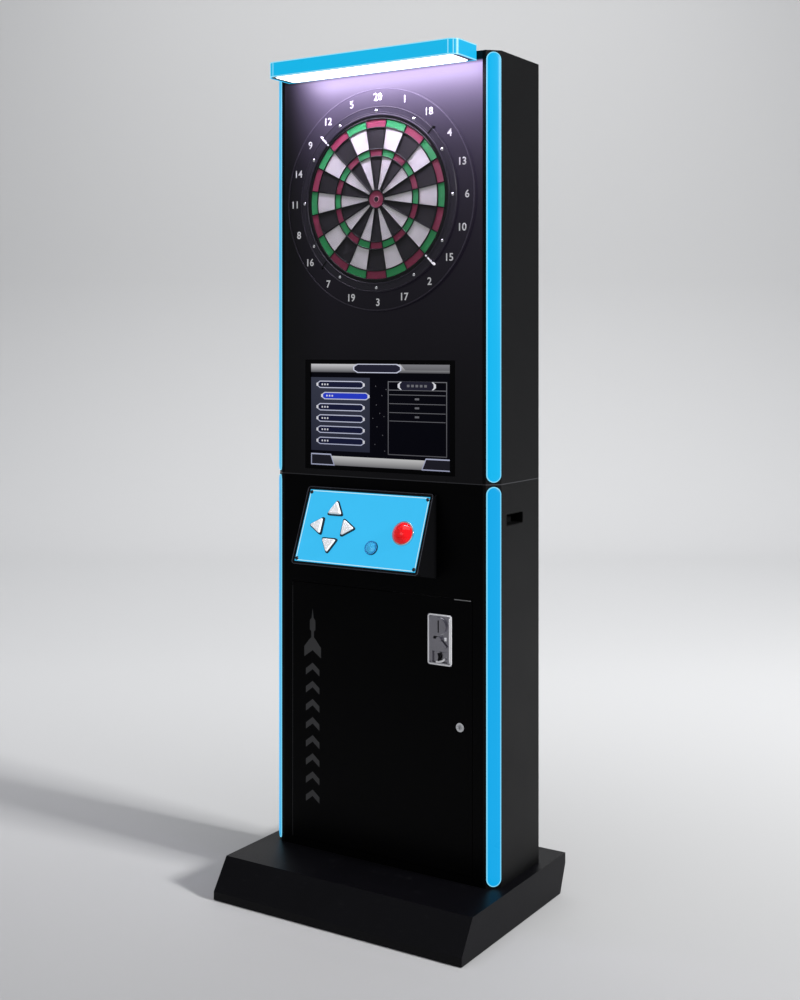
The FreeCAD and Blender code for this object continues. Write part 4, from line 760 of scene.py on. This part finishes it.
prisms("menu_list_frame", [bar(OUT[0], OUT[1], OUT[2], OUT[2] + EDGE * 1.6),
                           bar(OUT[0], OUT[1], OUT[3] - EDGE * 1.6, OUT[3]),
                           bar(OUT[0], OUT[0] + EDGE, OUT[2], OUT[3]),
                           bar(OUT[1] - EDGE, OUT[1], OUT[2], OUT[3]),
                           bar(OUT[0], OUT[1], 0.245, 0.252)]
       + [bar(OUT[0] + 0.01, OUT[1] - 0.01, v, v + 0.006) for v in (0.29, 0.375, 0.46, 0.54)],
       1, rule_grey)
prisms("menu_list_title", [bar(0.635, 0.90, 0.170, 0.243, 0.018)], 2, mark_white)
prisms("menu_list_title_fill", [bar(0.650, 0.885, 0.166, 0.247, 0.016)], 3, tab_dark)
prisms("menu_list_marks", [bar(0.755, 0.785, v, v + 0.018) for v in (0.322, 0.407, 0.492)]
       + [bar(0.70 + 0.03 * j, 0.718 + 0.03 * j, 0.195, 0.218) for j in range(5)], 4, rule_grey)
prisms("menu_footer", [bar(0.0, 1.0, 0.905, 0.995)], 1, steel_foot)
prisms("menu_footer_tab_lines", [[(0.0, 0.885), (0.150, 0.885), (0.178, 0.998), (0.0, 0.998)],
                                 [(0.83, 0.885), (1.0, 0.885), (1.0, 0.998), (0.80, 0.998)]],
       2, pill_line)
prisms("menu_footer_tabs", [[(0.006, 0.897), (0.146, 0.897), (0.170, 0.988), (0.006, 0.988)],
                            [(0.834, 0.897), (0.994, 0.897), (0.994, 0.988), (0.808, 0.988)]],
       3, tab_dark)

# ---- console -------------------------------------------------------------------------------
# A folded black housing carries a sloping printed plate with six push buttons.
# Each button's bezel is screwed through the plate; the plate is held by four screws.
CON_LOW = np.array([-0.020, FACE - 0.084, 0.837])
CON_TOP = np.array([-0.020, FACE - 0.015, 1.008])
CON_MID = (CON_LOW + CON_TOP) / 2
CON_V = (CON_TOP - CON_LOW) / np.linalg.norm(CON_TOP - CON_LOW)
CON_N = np.array([0, -CON_V[2], CON_V[1]])
PLATE_W = 0.3526
PLATE_L = float(np.linalg.norm(CON_TOP - CON_LOW))


def on_plate(local):
    """Points given as (right, up the slope, out) of the plate's middle, in the row frame."""
    return CON_MID + local[..., :1] * [1, 0, 0] + local[..., 1:2] * CON_V + local[..., 2:3] * CON_N


console_black = finish("console_black", (0.0018, 0.0018, 0.0022), 0.4, grain=1200.0, depth=0.1,
                       spec=0.12)
# painted light: the blue film, its pale outline and the white caps are given a painted glow of their
# own
console_blue = finish("console_film", (0.040, 0.515, 0.90), 0.35, grain=260.0, depth=0.01,
                      blotch=0.03, glow=0.92, dim=0.90, spec=0.2)
console_line = finish("console_line", (0.66, 0.92, 1.0), 0.35, grain=300.0, depth=0.02, glow=0.75,
                      dim=0.8)
bezel_black = finish("bezel_black", (0.004, 0.006, 0.010), 0.25, grain=900.0, depth=0.05)
cap_white = finish("cap_white", (0.86, 0.88, 0.90), 0.22, grain=120.0, depth=0.03, glow=0.22,
                   coat=0.4)
switch_plastic = finish("switch_plastic", (0.05, 0.05, 0.05), 0.5, grain=1200.0, depth=0.1)
wear(console_black, "console_housing")
wear(console_blue, "console_plate")
wear(bezel_black, "button_bezels")
wear(cap_white, "arrow_up", "arrow_down", "arrow_left", "arrow_right")
wear(switch_plastic, "button_switches", "power_inlet", "rear_latch", "coin_validator")


def rounded_loop(half_w, half_h, radius, samples=8):
    """A rectangle with rounded corners as one closed loop of (right, up) points."""
    q = np.linspace(0, math.pi / 2, samples)
    loop = []
    for sx, sy, start in ((1, 1, 0), (-1, 1, 1), (-1, -1, 2), (1, -1, 3)):
        a = q + start * math.pi / 2
        loop.append(np.stack([sx * (half_w - radius) + radius * np.cos(a),
                              sy * (half_h - radius) + radius * np.sin(a)], -1))
    return np.vstack(loop)


def plate_frame(name, half_w, half_h, radius, wide, low, high, material):
    """A flat band of one width round a rounded rectangle on the plate, from low to high off it."""
    outer = rounded_loop(half_w, half_h, radius)
    inner = rounded_loop(half_w - wide, half_h - wide, max(radius - wide, 0.0004))
    rows = [np.c_[loop, np.full(len(loop), h)] for loop, h in
            ((inner, low), (outer, low), (outer, high), (inner, high), (inner, low))]
    surface(name, on_plate(np.array(rows)), material, "cabinet", smooth=False)


plate_frame("console_outline", PLATE_W / 2 - 0.002, PLATE_L / 2 - 0.002, 0.007, 0.0017,
            -0.0002, 0.0004, console_line)
rim_grey = finish("console_rim", (0.035, 0.037, 0.046), 0.3, grain=900.0, depth=0.05, spec=0.3)
plate_frame("console_rim_edge", PLATE_W / 2 + 0.0078, PLATE_L / 2 + 0.0078, 0.008, 0.0016,
            0.0006, 0.0022, rim_grey)


def plate_turned(name, profile, at, material, sides):
    """A lathe shape about the plate's normal: every (radius, out) of the profile makes a circle."""
    a = np.linspace(0, 2 * math.pi, sides, endpoint=False)
    radius = np.array([p[0] for p in profile])[:, None]
    out = np.array([p[1] for p in profile])[:, None]
    local = np.stack([at[0] + radius * np.cos(a), at[1] + radius * np.sin(a), out + 0 * a], -1)
    surface(name, on_plate(local), material, "cabinet")


def glassy(name, colour, glow, cells=260.0):
    """Clear coloured cap with a painted glow: bright facets of a cell pattern inside it, moulded facets
    with painted sparkle, break up the light.
    """
    mat = finish(name, colour, 0.06, grain=90.0, depth=0.02, blotch=0.15, coat=0.45, glow=glow,
                 spec=0.3)
    tree = mat.node_tree
    shader = tree.nodes["Principled BSDF"]
    spot = tree.nodes["Texture Coordinate"].outputs["Object"]
    cell = node(tree, "TexVoronoi", {"Vector": spot, "Scale": cells}).outputs["Distance"]
    paint = shader.inputs["Base Color"].links[0].from_socket
    facets = mixed(tree, ramp(tree, cell, 0.10, 0.55), paint, (*[c * 0.70 for c in colour], 1))
    plug(tree, shader, {"Base Color": facets, "Emission Color": facets})
    return mat


bright_chrome = finish("bright_chrome", (0.78, 0.79, 0.81), 0.10, grain=700.0, depth=0.015,
                       metal=1.0, blotch=0.06)
red_dome = glassy("red_dome", (0.78, 0.002, 0.005), glow=0.62)
blue_dome = glassy("blue_dome", (0.05, 0.48, 0.86), glow=0.45, cells=420.0)
wear(red_dome, "red_button", "power_rocker")
wear(blue_dome, "blue_button")
wear(bright_chrome, "red_bezel")
BLUE_AT = (0.0414, -0.0435)
# the four screw heads are blacked, and the caps over them stand 2.6 mm high
for k, (sx, sy) in enumerate(((1, 1), (-1, 1), (-1, -1), (1, -1))):
    plate_turned(f"console_screw_cap_{k}", [(0, -0.0003), (0.0046, -0.0003), (0.0046, 0.0012),
                                            (0.0036, 0.0022), (0.0012, 0.0026), (0, 0.0026)],
                 (sx * (PLATE_W / 2 - 0.0053), sy * (PLATE_L / 2 - 0.0067)), bezel_black,
                 24)


def arrow_block(name, at, turned_by, width, lift, corner, material, body, inner=0.0):
    """A rounded triangle pointing up the slope, turned about the plate's normal; the pairs in lift
    are (height off the plate, shrink in metres). With inner it is a frame round that width."""
    def outline(side, shrink, round_r):
        tall = side * 0.83
        tips = np.array([[0, tall * 0.58], [-side / 2, -tall * 0.42], [side / 2, -tall * 0.42]])
        tips = tips * (1 - shrink / (side * 0.30))
        loop = []
        for k in range(3):
            before, tip, after = tips[k - 1], tips[k], tips[(k + 1) % 3]
            a = (before - tip) / np.linalg.norm(before - tip)
            b = (after - tip) / np.linalg.norm(after - tip)
            half = math.acos(float(a @ b)) / 2
            reach = round_r / math.tan(half)
            t = np.linspace(0, 1, 6)[:, None]
            loop.append((tip + a * reach) * (1 - t) ** 2 + tip * 2 * t * (1 - t)
                        + (tip + b * reach) * t ** 2)
        return np.vstack(loop)

    rows = [(outline(width, shrink, corner), h) for h, shrink in lift]
    if inner:
        hollow = outline(inner, 0, corner * 0.6)
        rows += [(hollow, lift[-1][0]), (hollow, lift[0][0]), rows[0]]
    else:
        rows = [(rows[0][0] * 0, rows[0][1])] + rows + [(rows[-1][0] * 0, rows[-1][1])]
    c, s = math.cos(turned_by), math.sin(turned_by)
    grid = []
    for plan, h in rows:
        grid.append(np.c_[at[0] + plan[:, 0] * c - plan[:, 1] * s,
                          at[1] + plan[:, 0] * s + plan[:, 1] * c, np.full(len(plan), h)])
    return surface(name, on_plate(np.array(grid)), material, body, smooth=False)


ARROWS = {"arrow_up": ((-0.084, 0.046), 0), "arrow_left": ((-0.130, 0), math.pi / 2),
          "arrow_down": ((-0.084, -0.046), math.pi), "arrow_right": ((-0.038, 0), -math.pi / 2)}
for name, (at, turned_by) in ARROWS.items():
    cap = arrow_block(name + "_cap", at, turned_by, 0.0405,
                      ((0.0036, 0), (0.0082, 0), (0.0094, 0.0010), (0.0098, 0.0024)), 0.0035,
                      cap_white, name)
    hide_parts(name)
    bezel = arrow_block(name + "_bezel", at, turned_by, 0.0515,
                        ((-0.0002, 0), (0.0046, 0), (0.0056, 0.0010)), 0.0055, bezel_black,
                        "cabinet", inner=0.0425)
    if name == "arrow_up":
        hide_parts("button_bezels")
plate_turned("blue_button_bezel", [(0.0136, -0.0002), (0.0175, -0.0002), (0.0175, 0.0038),
                                   (0.0162, 0.0050), (0.0136, 0.0050), (0.0136, -0.0002)],
             BLUE_AT, bezel_black, 48)
plate_turned("blue_button_collar", [(0.0138, 0.0050), (0.0168, 0.0050), (0.0172, 0.0056),
                                    (0.0160, 0.0066), (0.0142, 0.0062), (0.0138, 0.0050)],
             BLUE_AT, glassy("blue_collar", (0.03, 0.35, 0.82), glow=0.2, cells=500.0),
             48)

# ---- service door ------------------------------------------------------------------------------
# The laminated door is hinged on the left and locked on the right by a cam lock.
# A die-cast chrome coin plate has a slot, a reject lever and a return cup with a flap.
coin_chrome = finish("coin_chrome", (0.40, 0.39, 0.43), 0.24, grain=420.0, depth=0.22, metal=1.0,
                     blotch=0.30, scuff=0.1, stretch=(1, 1, 3))
wear(coin_chrome, "coin_plate", "coin_return_lever", "coin_return_flap")
wear(bright_chrome, "door_lock_barrel")
wear(zinc_plate, "door_lock_plug")
card_green = finish("card_green", (0.012, 0.11, 0.035), 0.35, grain=350.0, depth=0.2, blotch=0.3)
wear(card_green, "control_board")

# printed ornament up the door's left side: a dart flying up a trail of chevrons
ornament_grey = finish("ornament_grey", (0.062, 0.062, 0.063), 0.4, grain=700.0, depth=0.02,
                       spec=0.1)
door_low, door_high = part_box("service_door")
DOOR_FRONT = float(door_low.y)
TRAIL_X = -0.202
TRAIL_Z = 0.212
CHEVRONS = 8
CHEVRON_STEP = 0.046
CHEVRON_HALF = 0.021
CHEVRON_RISE = 0.016
CHEVRON = [(-CHEVRON_HALF, 0), (0, CHEVRON_RISE), (CHEVRON_HALF, 0), (CHEVRON_HALF, CHEVRON_RISE),
           (0, 2 * CHEVRON_RISE), (-CHEVRON_HALF, CHEVRON_RISE)]
trail = [[(TRAIL_X + u, TRAIL_Z + CHEVRON_STEP * k + v) for u, v in CHEVRON]
         for k in range(CHEVRONS)]


def print_on_door(name, outlines):
    """Flat prints, 0.15 mm thick, over outlines of (x, z) points on the door's face."""
    xz = np.array(outlines, float)
    slabs(name, xz[..., 0], xz[..., 1], DOOR_FRONT + 0.00005, DOOR_FRONT - 0.00015,
          ornament_grey, "front_door")


print_on_door("ornament_chevrons", trail)
DART_Z = TRAIL_Z + CHEVRON_STEP * CHEVRONS
dart_half = [(0.0, 0.018), (0.026, 0.0), (0.026, 0.026), (0.009, 0.046), (0.004, 0.050),
             (0.004, 0.066), (0.0085, 0.070), (0.0085, 0.094), (0.003, 0.100), (0.0, 0.124)]
right_half = [(TRAIL_X + u, DART_Z + v) for u, v in dart_half]
left_half = [(TRAIL_X - u, DART_Z + v) for u, v in dart_half[-2:0:-1]]
print_on_door("ornament_dart", [right_half + left_half])

# cast details of the coin plate: a bright bead round it, the slot's half-moon, the reject lever's
# recess and the cup's mouth; the bright beads, with a glow, are painted highlights, and dark bars lie
# in the hollows between them as painted shade
COIN_X = 0.175
COIN_Z = 0.667
COIN_FRONT = FACE - 0.003
cast_painted_highlight = finish("cast_painted_highlight", (0.86, 0.86, 0.88), 0.2, grain=600.0, depth=0.05, metal=0.35,
                     blotch=0.08, glow=0.10)
pit_painted_shade = finish("pit_painted_shade", (0.004, 0.004, 0.006), 0.5, grain=900.0, depth=0.1, spec=0.1)


def cast_bead(name, path, radius, material, closed=False):
    """A half-sunk round bar of one radius along a path of (x, z) points on the coin plate."""
    path = np.array(path, float)
    if closed:
        ahead = np.roll(path, -1, 0) - np.roll(path, 1, 0)
    else:
        ahead = np.gradient(path, axis=0)
    ahead = ahead / np.linalg.norm(ahead, axis=1)[:, None]
    aside = np.stack([-ahead[:, 1], ahead[:, 0]], -1)
    t = np.linspace(0, 2 * math.pi, 8, endpoint=False)
    x = path[:, :1] + aside[:, :1] * radius * np.cos(t)
    z = path[:, 1:] + aside[:, 1:] * radius * np.cos(t)
    shape = np.stack([x, COIN_FRONT - radius * np.sin(t) + 0 * x, z], -1)
    if closed:
        shape = np.concatenate([shape, shape[:1]], 0)
    else:
        ends = [np.repeat(e.mean(0)[None], 8, 0)[None] for e in (shape[0], shape[-1])]
        shape = np.concatenate([ends[0], shape, ends[1]], 0)
    surface(name, shape, material, "front_door")


cast_bead("coin_plate_bead", rounded_loop(0.0315, 0.0590, 0.006) + [COIN_X, COIN_Z], 0.0021,
          cast_painted_highlight, closed=True)
# the right edge is cast thicker, with a painted highlight where it catches the light
cast_bead("coin_plate_right_rib", [(COIN_X + 0.0285, COIN_Z + v) for v in
                                   np.linspace(-0.054, 0.054, 12)], 0.0030, cast_painted_highlight)
moon = np.linspace(-0.5, 0.47, 14) * math.pi
cast_bead("coin_slot_moon", [(COIN_X + 0.001 + 0.0150 * math.cos(t), COIN_Z + 0.033
                              + 0.0185 * math.sin(t)) for t in moon], 0.0024, cast_painted_highlight)
cast_bead("coin_slot_shade", [(COIN_X - 0.0035, COIN_Z + v) for v in
                              np.linspace(0.012, 0.052, 8)], 0.0020, pit_painted_shade)
cast_bead("lever_shade", [(COIN_X - 0.016 + 0.015 * t, COIN_Z + 0.005 - 0.001 * t)
                          for t in np.linspace(0, 1, 5)], 0.0034, pit_painted_shade)
cast_bead("cup_shade", [(COIN_X - 0.004 + 0.003 * math.sin(t * 3), COIN_Z - 0.032 - 0.018 * t)
                        for t in np.linspace(0, 1, 8)], 0.0030, pit_painted_shade)
cast_bead("cup_lip", [(COIN_X - 0.010 + 0.024 * t, COIN_Z - 0.053 + 0.008 * t ** 3)
                      for t in np.linspace(0, 1, 8)], 0.0026, cast_painted_highlight)
cast_bead("plate_stud", [(COIN_X + 0.0165, COIN_Z + v) for v in np.linspace(-0.001, 0.007, 5)],
          0.0034, cast_painted_highlight)
# painted highlight: a short bright edge shows at the door's free upper corner
corner_edge = finish("door_edge_painted_highlight", (0.30, 0.30, 0.30), 0.4, grain=900.0, depth=0.1, spec=0.3)
ends = [(0.214, 0), (0.214, 1), (0.259, 1), (0.259, 0)]
rows = [[(x, DOOR_FRONT - 0.0002 + dy * grow, float(door_high.z) - 0.0010 + dz * grow)
         for dy, dz in ((-0.0004, -0.0008), (0.0004, -0.0008), (0.0004, 0.0008), (-0.0004, 0.0008))]
        for x, grow in ends]
surface("door_corner_highlight", np.array(rows), corner_edge, "front_door",
        smooth=False)
